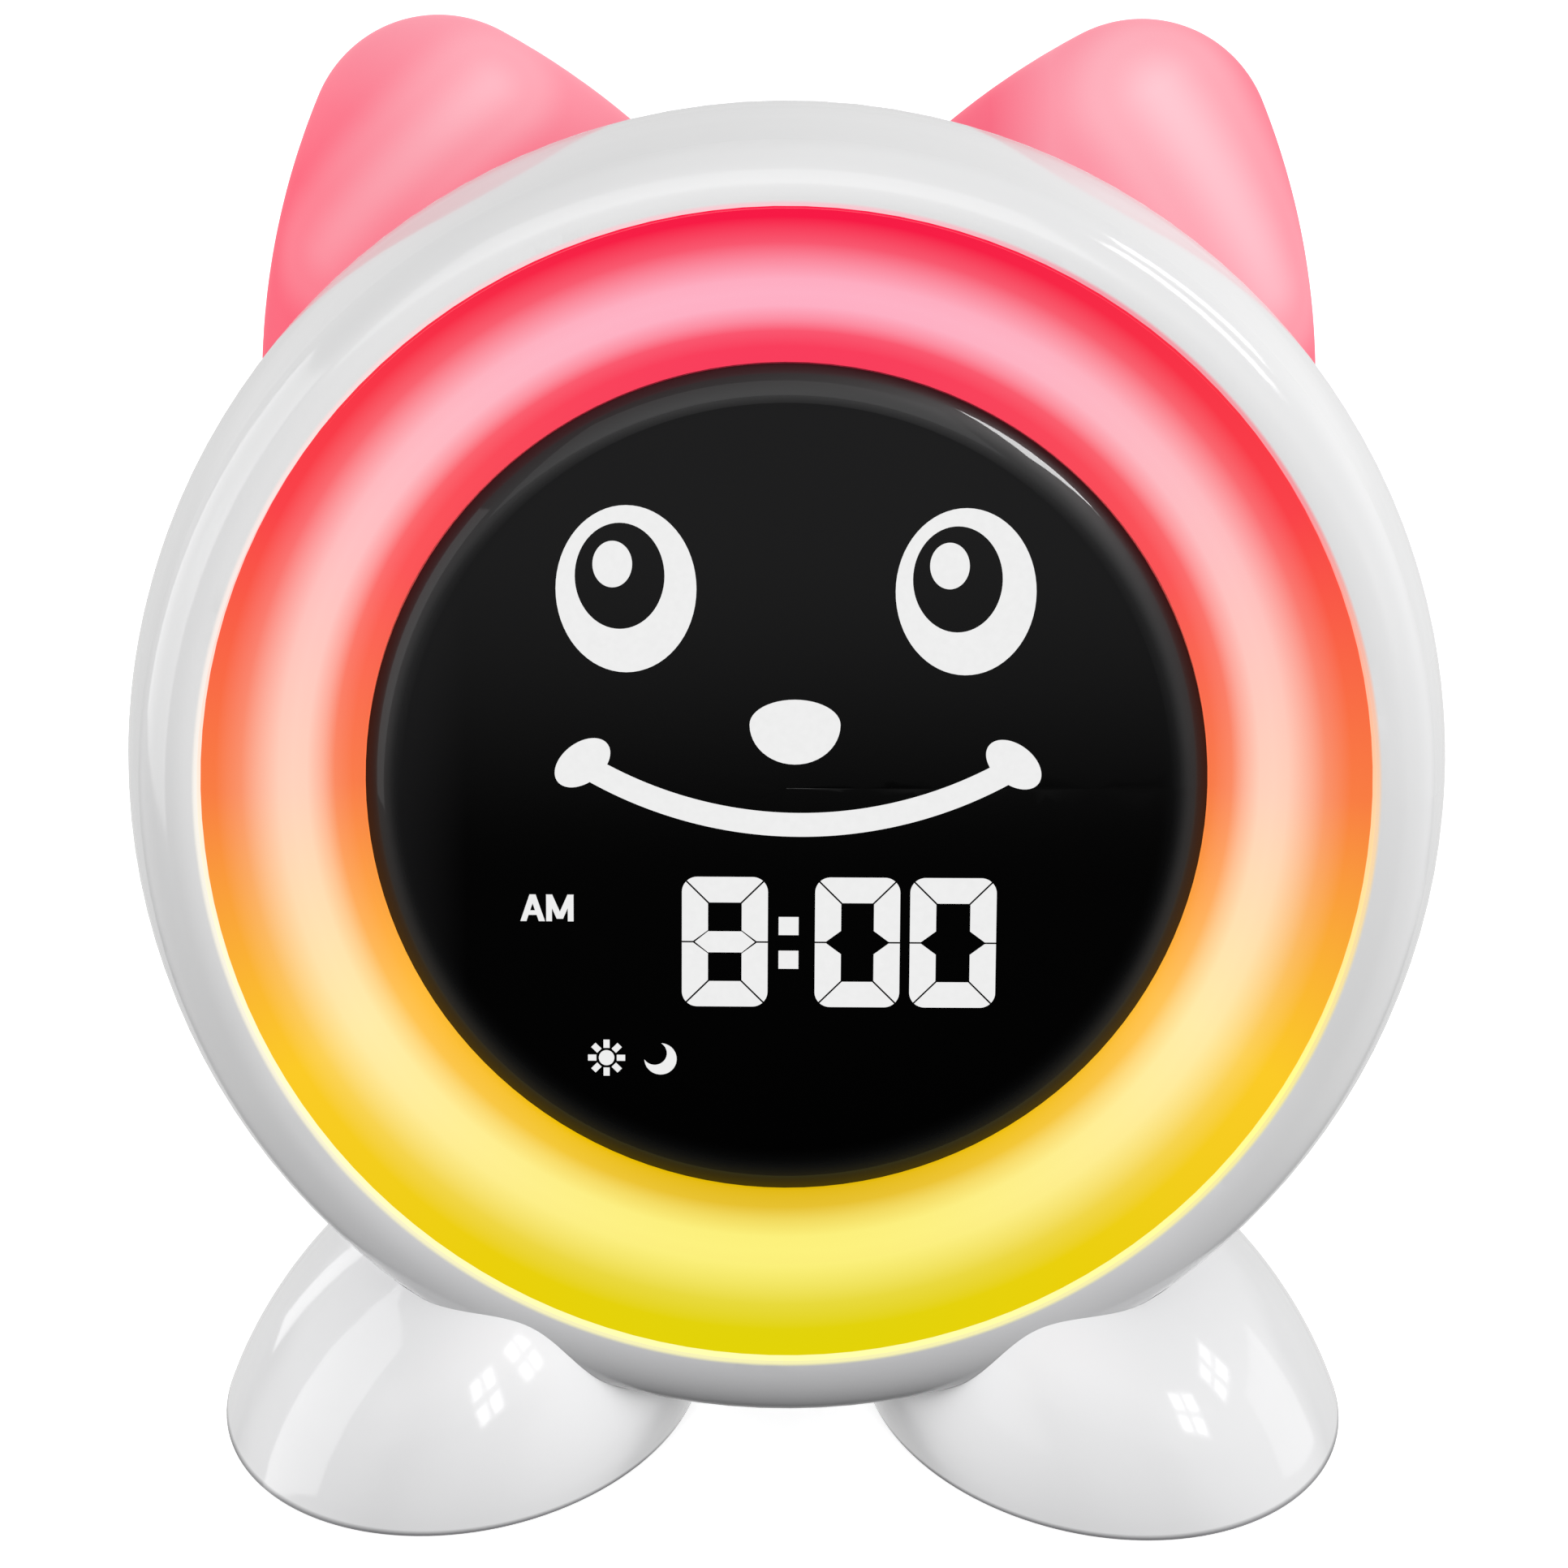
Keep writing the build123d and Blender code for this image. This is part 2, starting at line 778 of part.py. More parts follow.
with BuildPart() as rear_bosses:
    with BuildSketch(face):
        with PolarLocations(shell_screw_circle_radius, shell_screw_count):
            Circle(shell_well_radius + shell_well_wall)
    extrude(amount=-rear_depth)
    with BuildSketch(Plane.XY):
        with Locations(*foot_screw_places):
            Circle(foot_boss_radius)
    extrude(amount=foot_boss_top)
    add(rear_form.part, mode=Mode.INTERSECT)

with BuildPart() as rear_shell:
    with BuildSketch(section):
        with BuildLine():
            rear_outline(side_point(-groove_angle))
            Polyline(
                (rear_round_radius, -rear_depth),
                (0, -rear_depth),
                (0, panel_inner),
                *reversed(rear_inner_points),
                (head_radius - parting_groove, 0),
                side_point(-groove_angle),
            )
        make_face()
    revolve(axis=face_axis)
    add(rear_bosses.part)
    with BuildSketch(face.offset(door_plane_depth)):
        with Locations((0, bay_middle)):
            Rectangle(tub_width, tub_length)
    extrude(amount=tub_front_depth - door_plane_depth)
    with BuildSketch(face.offset(door_plane_depth)):
        with Locations((0, door_middle)):
            RectangleRounded(door_width + door_ledge, door_length + door_ledge, door_corner)
    extrude(amount=door_ledge)
    with BuildSketch(face.offset(door_plane_depth)):
        with Locations((0, door_screw_up)):
            Circle(post_radius)
    extrude(amount=door_boss_depth - door_plane_depth)
    with BuildSketch(face.offset(panel_inner)):
        with Locations(*post_places):
            Circle(post_radius)
    extrude(amount=main_board_rear - panel_inner)
    with BuildSketch(face.offset(panel_inner)):
        with Locations((0, speaker_up)):
            Circle(speaker_ring_radius)
            Circle(speaker_radius + fit_gap, mode=Mode.SUBTRACT)
    extrude(amount=speaker_rib_height)
    # Battery bay, door recess and the door's screw hole
    with BuildSketch(face.offset(-rear_depth)):
        with Locations((0, bay_middle)):
            Rectangle(bay_width, bay_length)
    extrude(amount=bay_floor_depth + rear_depth, mode=Mode.SUBTRACT)
    with BuildSketch(face.offset(-rear_depth)):
        with Locations((0, door_middle)):
            RectangleRounded(door_width + 2 * door_gap, door_length + 2 * door_gap, door_corner)
    extrude(amount=door_thickness, mode=Mode.SUBTRACT)
    with BuildSketch(face.offset(door_plane_depth)):
        with Locations((0, door_screw_up)):
            Circle(screw_thread_radius + fit_gap)
    extrude(amount=door_screw_length, mode=Mode.SUBTRACT)
    # Keys, speaker slots, power inlet and slide switch
    with BuildSketch(face.offset(-rear_depth)):
        with Locations(*key_places):
            Circle(key_radius + key_gap)
        for step in range(grille_slots):
            offset_across = (step - (grille_slots - 1) / 2) * grille_slot_pitch
            slot_length = 2 * sqrt(grille_radius**2 - offset_across**2)
            with Locations((offset_across, speaker_up)):
                SlotOverall(slot_length, grille_slot_width, rotation=90)
        with Locations((inlet_across, inlet_up)):
            SlotOverall(inlet_width + 2 * inlet_gap, inlet_tall + 2 * inlet_gap)
        with Locations((switch_across, switch_up)):
            Rectangle(switch_nub + 2 * switch_gap, switch_nub + switch_travel + 2 * switch_gap)
    extrude(amount=panel_wall, mode=Mode.SUBTRACT)
    with BuildSketch(face.offset(main_board_rear)):
        with Locations(*post_places):
            Circle(screw_thread_radius)
    extrude(amount=-main_screw_length, mode=Mode.SUBTRACT)
    # Shell screw wells, foot screw holes and ear sockets
    with BuildSketch(face.offset(-rear_depth)):
        with PolarLocations(shell_screw_circle_radius, shell_screw_count):
            Circle(shell_well_radius)
    extrude(amount=rear_depth - shell_well_floor, mode=Mode.SUBTRACT)
    with BuildSketch(face.offset(-rear_depth)):
        with PolarLocations(shell_screw_circle_radius, shell_screw_count):
            Circle(screw_hole_radius)
    extrude(amount=rear_depth, mode=Mode.SUBTRACT)
    with BuildSketch(Plane.XY):
        with Locations(*foot_screw_places):
            Circle(screw_thread_radius)
    extrude(amount=foot_screw_tip, mode=Mode.SUBTRACT)
    for side in (-1, 1):
        with BuildSketch(ear_plane(side, ear_root)):
            Ellipse(ear_neck_across + fit_gap, ear_neck_deep + fit_gap)
    extrude(amount=ear_cavity_bottom - ear_root, mode=Mode.SUBTRACT)
rear_shell.part.label = "rear_shell"
export_step(rear_shell.part, "parts/rear_shell.step")

shell_screw_length = shell_well_floor + pillar_top - ring_flange - shell_screw_end_gap

with BuildPart() as shell_screws:
    with BuildSketch(face.offset(-shell_well_floor)):
        with PolarLocations(shell_screw_circle_radius, shell_screw_count):
            Circle(screw_head_radius)
    extrude(amount=-screw_head_height)
    with BuildSketch(face.offset(-shell_well_floor)):
        with PolarLocations(shell_screw_circle_radius, shell_screw_count):
            Circle(screw_thread_radius)
    extrude(amount=shell_screw_length)
shell_screws.part.label = "shell_screws"
export_step(shell_screws.part, "parts/shell_screws.step")

# ---------------------------------------------------------------------------
# Main board with its switches, inlet and chips
# ---------------------------------------------------------------------------

with BuildPart() as main_board:
    with BuildSketch(face.offset(main_board_rear)):
        Circle(main_board_radius)
        with Locations((0, board_slot_top)):
            Rectangle(
                tub_width + 2 * main_board_gap,
                2 * main_board_radius,
                align=(Align.CENTER, Align.MAX),
                mode=Mode.SUBTRACT,
            )
        with Locations(*post_places):
            Circle(screw_thread_radius, mode=Mode.SUBTRACT)
    extrude(amount=main_board_thickness)
main_board.part.label = "main_board"
export_step(main_board.part, "parts/main_board.step")

with BuildPart() as main_board_screws:
    with BuildSketch(face.offset(main_board_front)):
        with Locations(*post_places):
            Circle(screw_head_radius)
    extrude(amount=screw_head_height)
    with BuildSketch(face.offset(main_board_front)):
        with Locations(*post_places):
            Circle(screw_thread_radius)
    extrude(amount=-main_screw_length)
main_board_screws.part.label = "main_board_screws"
export_step(main_board_screws.part, "parts/main_board_screws.step")

with BuildPart() as tact_switches:
    with BuildSketch(face.offset(main_board_rear)):
        with Locations(*key_places):
            Rectangle(tact_size, tact_size)
    extrude(amount=-tact_body_height)
    with BuildSketch(face.offset(main_board_rear)):
        with Locations(*key_places):
            Circle(tact_plunger_radius)
    extrude(amount=-tact_body_height - tact_plunger_height)
tact_switches.part.label = "tact_switches"
export_step(tact_switches.part, "parts/tact_switches.step")

with BuildPart() as main_chips:
    with BuildSketch(face.offset(main_board_front)):
        with Locations((inlet_across, 0), (switch_across, 0)):
            Rectangle(chip_length, chip_width)
    extrude(amount=chip_height)
main_chips.part.label = "main_chips"
export_step(main_chips.part, "parts/main_chips.step")

inlet_mouth_depth = -rear_depth + inlet_recess

with BuildPart() as usb_socket:
    with BuildSketch(face.offset(inlet_mouth_depth)):
        with Locations((inlet_across, inlet_up)):
            SlotOverall(inlet_width, inlet_tall)
    extrude(amount=main_board_rear - inlet_mouth_depth)
    with BuildSketch(face.offset(inlet_mouth_depth)):
        with Locations((inlet_across, inlet_up)):
            SlotOverall(inlet_width - 2 * inlet_wall, inlet_tall - 2 * inlet_wall)
    extrude(amount=inlet_bore, mode=Mode.SUBTRACT)
    with BuildSketch(face.offset(inlet_mouth_depth + inlet_bore)):
        with Locations((inlet_across, inlet_up)):
            Rectangle(inlet_tongue_width, inlet_tongue)
    extrude(amount=-inlet_tongue_length)
usb_socket.part.label = "usb_socket"
export_step(usb_socket.part, "parts/usb_socket.step")

switch_body_rear = main_board_rear - switch_body_height

with BuildPart() as slide_switch:
    with BuildSketch(face.offset(main_board_rear)):
        with Locations((switch_across, switch_up)):
            Rectangle(switch_body_width, switch_body_length)
    extrude(amount=-switch_body_height)
slide_switch.part.label = "slide_switch"
export_step(slide_switch.part, "parts/slide_switch.step")

with BuildPart() as switch_knob:
    with BuildSketch(face.offset(-rear_depth - switch_proud)):
        with Locations((switch_across, switch_rest)):
            Rectangle(switch_nub, switch_nub)
    extrude(amount=switch_proud + panel_wall + key_seat_gap)
    with BuildSketch(face.offset(key_rest_depth)):
        with Locations((switch_across, switch_rest)):
            Rectangle(switch_plate_width, switch_nub + 2 * switch_travel + 4 * switch_gap)
    extrude(amount=switch_plate)
    with BuildSketch(face.offset(key_rest_depth)):
        with Locations((switch_across, switch_rest)):
            Rectangle(switch_stem, switch_stem)
    extrude(amount=switch_body_rear - fit_gap - key_rest_depth)
switch_knob.part.label = "switch_knob"
export_step(switch_knob.part, "parts/switch_knob.step")

for name, place in zip(key_names, key_places):
    with BuildPart() as button:
        with BuildSketch(face.offset(-rear_depth - key_proud)):
            with Locations(place):
                Circle(key_radius)
        extrude(amount=key_proud + panel_wall + key_seat_gap + key_flange)
        chamfer(button.faces().sort_by(face_axis)[0].edges(), length=key_dish)
        with BuildSketch(face.offset(key_rest_depth)):
            with Locations(place):
                Circle(key_flange_radius)
        extrude(amount=key_flange)
    button.part.label = f"button_{name}"
    export_step(button.part, f"parts/button_{name}.step")

# ---------------------------------------------------------------------------
# Display cable between the two boards
# ---------------------------------------------------------------------------

cable_plane = Plane(origin=head_middle, x_dir=face.y_dir, z_dir=face.x_dir).offset(-cable_width / 2)
cable_up = board_slot_top + cable_above_slot
cable_rear = main_board_front + cable_socket_height
cable_front = board_back_depth - cable_socket_height
cable_quarter = (cable_front - cable_rear) / 4

with BuildPart() as display_cable:
    with BuildSketch(cable_plane):
        with BuildLine():
            FilletPolyline(
                (cable_up, cable_rear),
                (cable_up, cable_rear + cable_quarter),
                (cable_up + cable_slack, cable_rear + 2 * cable_quarter),
                (cable_up, cable_rear + 3 * cable_quarter),
                (cable_up, cable_front),
                radius=cable_bend,
            )
        trace(line_width=cable_thickness)
    extrude(amount=cable_width)
display_cable.part.label = "display_cable"
export_step(display_cable.part, "parts/display_cable.step")

with BuildPart() as cable_sockets:
    with BuildSketch(face.offset(main_board_front), face.offset(cable_front)):
        with Locations((0, cable_up)):
            Rectangle(cable_socket_width, cable_socket_tall)
    extrude(amount=cable_socket_height)
cable_sockets.part.label = "cable_sockets"
export_step(cable_sockets.part, "parts/cable_sockets.step")

# ---------------------------------------------------------------------------
# Speaker behind the slots
# ---------------------------------------------------------------------------

speaker_cup_radius = speaker_radius - speaker_rim
speaker_cup_depth = speaker_basket_height - speaker_back

with BuildPart() as speaker_basket:
    with BuildSketch(face.offset(panel_inner)):
        with Locations((0, speaker_up)):
            Circle(speaker_radius)
    extrude(amount=speaker_basket_height)
    with BuildSketch(face.offset(panel_inner)):
        with Locations((0, speaker_up)):
            Circle(speaker_cup_radius)
    extrude(amount=speaker_cup_depth, mode=Mode.SUBTRACT)
speaker_basket.part.label = "speaker_basket"
export_step(speaker_basket.part, "parts/speaker_basket.step")

with BuildPart() as speaker_cone:
    with BuildSketch(face.offset(panel_inner + speaker_cone_wall)):
        with Locations((0, speaker_up)):
            Circle(speaker_cup_radius)
    with BuildSketch(face.offset(panel_inner + speaker_cup_depth)):
        with Locations((0, speaker_up)):
            Circle(speaker_cone_radius)
    loft(ruled=True)
    with BuildSketch(face.offset(panel_inner + speaker_cone_wall)):
        with Locations((0, speaker_up)):
            Circle(speaker_cup_radius - speaker_cone_wall)
    with BuildSketch(face.offset(panel_inner + speaker_cup_depth - speaker_cone_wall)):
        with Locations((0, speaker_up)):
            Circle(speaker_cone_radius - speaker_cone_wall)
    loft(ruled=True, mode=Mode.SUBTRACT)
speaker_cone.part.label = "speaker_cone"
export_step(speaker_cone.part, "parts/speaker_cone.step")

with BuildPart() as speaker_magnet:
    with BuildSketch(face.offset(panel_inner + speaker_basket_height)):
        with Locations((0, speaker_up)):
            Circle(speaker_magnet_radius)
    extrude(amount=speaker_magnet_height)
speaker_magnet.part.label = "speaker_magnet"
export_step(speaker_magnet.part, "parts/speaker_magnet.step")

# ---------------------------------------------------------------------------
# Battery door, batteries and their contacts
# ---------------------------------------------------------------------------

with BuildPart() as battery_door:
    with BuildSketch(face.offset(-rear_depth)):
        with Locations((0, door_middle)):
            RectangleRounded(door_width, door_length, door_corner)
    extrude(amount=door_thickness - key_seat_gap)
    with BuildSketch(face.offset(-rear_depth)):
        with Locations((0, door_screw_up)):
            Circle(screw_hole_radius)
    extrude(amount=door_thickness, mode=Mode.SUBTRACT)
    with BuildSketch(face.offset(-rear_depth)):
        with Locations((0, door_screw_up)):
            Circle(screw_head_radius + fit_gap)
    extrude(amount=door_screw_head, mode=Mode.SUBTRACT)
    for step in range(door_rib_count):
        with BuildSketch(face.offset(-rear_depth)):
            with Locations((0, door_bottom + door_corner + step * door_rib_pitch)):
                Rectangle(door_width / 2, door_rib_width)
        extrude(amount=-door_rib_height)
battery_door.part.label = "battery_door"
export_step(battery_door.part, "parts/battery_door.step")

with BuildPart() as door_screw:
    with BuildSketch(face.offset(-rear_depth)):
        with Locations((0, door_screw_up)):
            Circle(screw_head_radius)
    extrude(amount=door_screw_head)
    with BuildSketch(face.offset(-rear_depth)):
        with Locations((0, door_screw_up)):
            Circle(screw_thread_radius)
    extrude(amount=door_thickness + door_screw_length - fit_gap)
door_screw.part.label = "door_screw"
export_step(door_screw.part, "parts/door_screw.step")

battery_depth = bay_floor_depth - battery_gap - battery_radius
spring_room = bay_length - battery_stretch - plate_thickness
battery_start = bay_middle - bay_length / 2 + spring_room
battery_across = [(step - (battery_count - 1) / 2) * battery_pitch for step in range(battery_count)]
bay_foot = Plane(
    origin=face.from_local_coords(Vector(0, battery_start, 0)),
    x_dir=face.x_dir,
    z_dir=face.y_dir,
)

with BuildPart() as batteries:
    with BuildSketch(bay_foot):
        with Locations(*[(across, -battery_depth) for across in battery_across]):
            Circle(battery_radius)
    extrude(amount=battery_length)
    with BuildSketch(bay_foot):
        with Locations(*[(across, -battery_depth) for across in battery_across]):
            Circle(battery_nub_radius)
    extrude(amount=battery_stretch)
batteries.part.label = "batteries"
export_step(batteries.part, "parts/batteries.step")

with BuildPart() as battery_plates:
    with BuildSketch(bay_foot.offset(battery_stretch)):
        with Locations(*[(across, -battery_depth) for across in battery_across]):
            Rectangle(plate_width, plate_width)
    extrude(amount=plate_thickness)
battery_plates.part.label = "battery_plates"
export_step(battery_plates.part, "parts/battery_plates.step")

spring_plane = Plane(origin=head_middle, x_dir=face.y_dir, z_dir=face.x_dir)
spring_foot = battery_start - spring_room + plate_thickness / 2

with BuildPart() as battery_springs:
    for across in battery_across:
        with BuildSketch(spring_plane.offset(across - spring_width / 2)):
            with BuildLine():
                Polyline(
                    (spring_foot, battery_depth - plate_width / 2),
                    (spring_foot, battery_depth + plate_width / 2),
                    (battery_start - plate_thickness, battery_depth),
                    (battery_start - spring_room / 2, battery_depth - plate_width / 2),
                )
            trace(line_width=plate_thickness)
        extrude(amount=spring_width)
battery_springs.part.label = "battery_springs"
export_step(battery_springs.part, "parts/battery_springs.step")

# ---------------------------------------------------------------------------
# Feet: hollow domes that lean in and forward, saddle-cut by the head
# ---------------------------------------------------------------------------

sole_top = foot_lift + sole_thickness
foot_dome_height = head_centre_height - foot_dome_drop
foot_top = foot_dome_height - foot_top_drop
foot_levels = [foot_lift + (foot_top - foot_lift) * share for share in (0, 0.2, 0.42, 0.64, 0.84, 1)]

with BuildPart() as head_skin:
    with BuildSketch(section):
        with BuildLine():
            ThreePointArc(
                side_point(foot_skin_turn, -foot_wall),
                side_point(0, -foot_wall),
                side_point(-foot_skin_turn, -foot_wall),
            )
            Polyline(
                side_point(-foot_skin_turn, -foot_wall),
                (0, side_point(-foot_skin_turn, -foot_wall)[1]),
                (0, side_point(foot_skin_turn, -foot_wall)[1]),
                side_point(foot_skin_turn, -foot_wall),
            )
        make_face()
    revolve(axis=face_axis)


def foot_plane(side, height):
    """Foot section plane at a height, turned toe-out about its own middle."""
    across = side * (foot_spread - foot_inward_lean * height)
    toe = radians(foot_toe_out)
    return Plane(
        origin=(across, -head_to_middle - foot_forward_lean * height, height),
        x_dir=(cos(toe), side * sin(toe), 0),
        z_dir=(0, 0, 1),
    )


def foot_ellipse(height, inset=0.0):
    """Foot outline at a height, inset from the outer surface."""
    share = sqrt(1 - (height / foot_dome_height) ** 2)
    Ellipse(foot_half_width * share - inset, foot_half_length * share - inset)


sole_boss_places = [(0, -sole_boss_offset), (0, sole_boss_offset)]

for side, name in ((-1, "left"), (1, "right")):
    foot_screw_place = (side * foot_screw_across, foot_screw_y)
    sole_plane = foot_plane(side, foot_lift)
    with BuildPart() as foot_cavity:
        for height in (sole_top, foot_cavity_top):
            with BuildSketch(foot_plane(side, height)):
                foot_ellipse(height, foot_wall)
        loft(ruled=True)
        add(head_skin.part, mode=Mode.SUBTRACT)
    with BuildPart() as foot:
        for height in foot_levels:
            with BuildSketch(foot_plane(side, height)):
                foot_ellipse(height)
        loft()
        with BuildSketch(sole_plane):
            foot_ellipse(foot_lift, foot_wall)
        extrude(amount=sole_thickness, mode=Mode.SUBTRACT)
        add(foot_cavity.part, mode=Mode.SUBTRACT)
        with BuildSketch(sole_plane.offset(sole_thickness)):
            with Locations(*sole_boss_places):
                Circle(sole_boss_radius)
        extrude(amount=foot_cavity_top - sole_top + foot_wall / 2)
        with BuildSketch(Plane.XY.offset(sole_top)):
            with Locations(foot_screw_place):
                Circle(foot_boss_radius)
        extrude(amount=foot_cavity_top)
        add(head_form.part, mode=Mode.SUBTRACT)
        with BuildSketch(Plane.XY.offset(sole_top)):
            with Locations(foot_screw_place):
                Circle(screw_head_radius + screw_slack)
        extrude(amount=foot_screw_seat - sole_top, mode=Mode.SUBTRACT)
        with BuildSketch(Plane.XY.offset(sole_top)):
            with Locations(foot_screw_place):
                Circle(screw_hole_radius)
        extrude(amount=foot_boss_top, mode=Mode.SUBTRACT)
        with BuildSketch(sole_plane.offset(sole_thickness)):
            with Locations(*sole_boss_places):
                Circle(screw_thread_radius)
        extrude(amount=sole_screw_length, mode=Mode.SUBTRACT)
    foot.part.label = f"foot_{name}"
    export_step(foot.part, f"parts/foot_{name}.step")
    pad_recess = pad_thickness - foot_lift
    with BuildPart() as sole:
        with BuildSketch(sole_plane):
            foot_ellipse(foot_lift, foot_wall + sole_edge_gap)
        extrude(amount=sole_thickness)
        with BuildSketch(sole_plane):
            with Locations(*sole_boss_places):
                Circle(pad_radius + fit_gap)
        extrude(amount=pad_recess, mode=Mode.SUBTRACT)
        with BuildSketch(sole_plane):
            with Locations(*sole_boss_places):
                Circle(screw_head_radius + screw_slack)
        extrude(amount=sole_thickness - sole_screw_cover, mode=Mode.SUBTRACT)
        with BuildSketch(sole_plane):
            with Locations(*sole_boss_places):
                Circle(screw_thread_radius)
        extrude(amount=sole_thickness, mode=Mode.SUBTRACT)
    sole.part.label = f"sole_{name}"
    export_step(sole.part, f"parts/sole_{name}.step")

with BuildPart() as foot_screws:
    with BuildSketch(Plane.XY.offset(foot_screw_seat)):
        with Locations(*foot_screw_places):
            Circle(screw_head_radius)
    extrude(amount=-screw_head_height)
    with BuildSketch(Plane.XY.offset(foot_screw_seat)):
        with Locations(*foot_screw_places):
            Circle(screw_thread_radius)
    extrude(amount=foot_screw_length)
foot_screws.part.label = "foot_screws"
export_step(foot_screws.part, "parts/foot_screws.step")

with BuildPart() as sole_screws:
    for side in (-1, 1):
        seat = foot_plane(side, foot_lift).offset(sole_thickness - sole_screw_cover)
        with BuildSketch(seat):
            with Locations(*sole_boss_places):
                Circle(screw_head_radius)
        extrude(amount=-sole_screw_head)
        with BuildSketch(seat):
            with Locations(*sole_boss_places):
                Circle(screw_thread_radius)
        extrude(amount=sole_screw_cover + sole_screw_length)
sole_screws.part.label = "sole_screws"
export_step(sole_screws.part, "parts/sole_screws.step")

with BuildPart() as foot_pads:
    for side in (-1, 1):
        with BuildSketch(foot_plane(side, foot_lift).offset(-foot_lift)):
            with Locations(*sole_boss_places):
                Circle(pad_radius)
    extrude(amount=pad_thickness)
foot_pads.part.label = "foot_pads"
export_step(foot_pads.part, "parts/foot_pads.step")
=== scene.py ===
import json
from math import cos, degrees, pi, radians, sin, sqrt

import bpy
from mathutils import Matrix, Quaternion, Vector
from mathutils.geometry import delaunay_2d_cdt


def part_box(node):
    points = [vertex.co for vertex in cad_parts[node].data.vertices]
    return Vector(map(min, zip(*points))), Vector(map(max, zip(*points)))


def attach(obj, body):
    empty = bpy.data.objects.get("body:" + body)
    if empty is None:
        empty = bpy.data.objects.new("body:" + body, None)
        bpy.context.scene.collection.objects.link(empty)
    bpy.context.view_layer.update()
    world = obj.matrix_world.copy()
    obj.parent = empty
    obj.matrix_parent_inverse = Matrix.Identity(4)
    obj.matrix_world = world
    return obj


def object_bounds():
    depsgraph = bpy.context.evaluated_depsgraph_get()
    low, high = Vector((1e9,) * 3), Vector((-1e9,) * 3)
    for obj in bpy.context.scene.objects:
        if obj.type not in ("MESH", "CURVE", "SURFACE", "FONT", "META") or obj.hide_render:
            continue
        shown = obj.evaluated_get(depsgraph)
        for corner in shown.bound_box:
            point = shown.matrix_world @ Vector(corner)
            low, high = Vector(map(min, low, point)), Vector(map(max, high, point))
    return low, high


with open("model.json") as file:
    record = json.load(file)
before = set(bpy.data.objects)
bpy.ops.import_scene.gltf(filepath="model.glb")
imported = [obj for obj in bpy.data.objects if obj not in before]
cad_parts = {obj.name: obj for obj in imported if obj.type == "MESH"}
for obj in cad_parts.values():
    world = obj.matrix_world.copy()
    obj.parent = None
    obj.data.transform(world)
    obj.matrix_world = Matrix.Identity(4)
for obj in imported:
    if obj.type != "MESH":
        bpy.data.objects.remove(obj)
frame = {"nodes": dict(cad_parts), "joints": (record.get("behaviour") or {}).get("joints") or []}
cad_low, cad_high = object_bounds()

# ---------------------------------------------------------------------------
# The clock's own axes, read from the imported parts
# ---------------------------------------------------------------------------

MM = 0.001
FILM_DEPTH = 9.6  # middle of the legend film, in front of the head's centre

joints = {joint["name"]: joint for joint in frame["joints"]}
film_low, film_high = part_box("legend_film")
ACROSS = Vector((1, 0, 0))
NORMAL = Vector(joints["time_press"]["axis"]).normalized()
UP = NORMAL.cross(ACROSS)
HEAD_CENTRE = (film_low + film_high) / 2 - NORMAL * FILM_DEPTH * MM


def face_point(across, up, depth):
    """World place of a point given in millimetres across, up and out from the head's centre."""
    return HEAD_CENTRE + (ACROSS * across + UP * up + NORMAL * depth) * MM


# ---------------------------------------------------------------------------
# Shader helpers
# ---------------------------------------------------------------------------

BLACK = (0, 0, 0, 1)


def grey(level):
    """A linear grey as RGBA."""
    return (level, level, level, 1)


def srgb(red, green, blue):
    """A display colour, 0 to 255 a channel, as linear RGBA by the sRGB curve."""
    linear = []
    for channel in (red, green, blue):
        share = channel / 255
        linear.append(share / 12.92 if share <= 0.04045 else ((share + 0.055) / 1.055) ** 2.4)
    return (*linear, 1)


def connect(tree, value, socket):
    """Give a socket another node's output, or a plain value."""
    if isinstance(value, bpy.types.NodeSocket):
        tree.links.new(value, socket)
    else:
        socket.default_value = value


def connect_all(tree, values, sockets):
    """Give several sockets, by name or number, their outputs or plain values."""
    for name, value in values.items():
        connect(tree, value, sockets[name])


def node(tree, kind, inputs, output=0, **settings):
    """A new node with its inputs and settings; gives one of its outputs."""
    made = tree.nodes.new(kind)
    for name, value in settings.items():
        setattr(made, name, value)
    connect_all(tree, inputs, made.inputs)
    return made.outputs[output]


def calc(tree, operation, *values, clamp=False):
    """One arithmetic step."""
    inputs = dict(enumerate(values))
    return node(tree, "ShaderNodeMath", inputs, operation=operation, use_clamp=clamp)


def vector_calc(tree, operation, inputs, output="Vector"):
    """One step of vector arithmetic."""
    return node(tree, "ShaderNodeVectorMath", inputs, output, operation=operation)


def place_of(tree):
    """Place on the object, in metres."""
    return node(tree, "ShaderNodeTexCoord", {}, "Object")


def along(tree, axis, origin=HEAD_CENTRE):
    """Distance along an axis from an origin, in millimetres."""
    offset = vector_calc(tree, "SUBTRACT", {0: place_of(tree), 1: origin})
    return vector_calc(tree, "DOT_PRODUCT", {0: offset, 1: tuple(axis / MM)}, "Value")


def noise(tree, scale, detail=2.0, roughness=0.5):
    """Soft noise on the object, with a scale in cycles a metre."""
    inputs = {"Vector": place_of(tree), "Scale": scale, "Detail": detail, "Roughness": roughness}
    return node(tree, "ShaderNodeTexNoise", inputs)


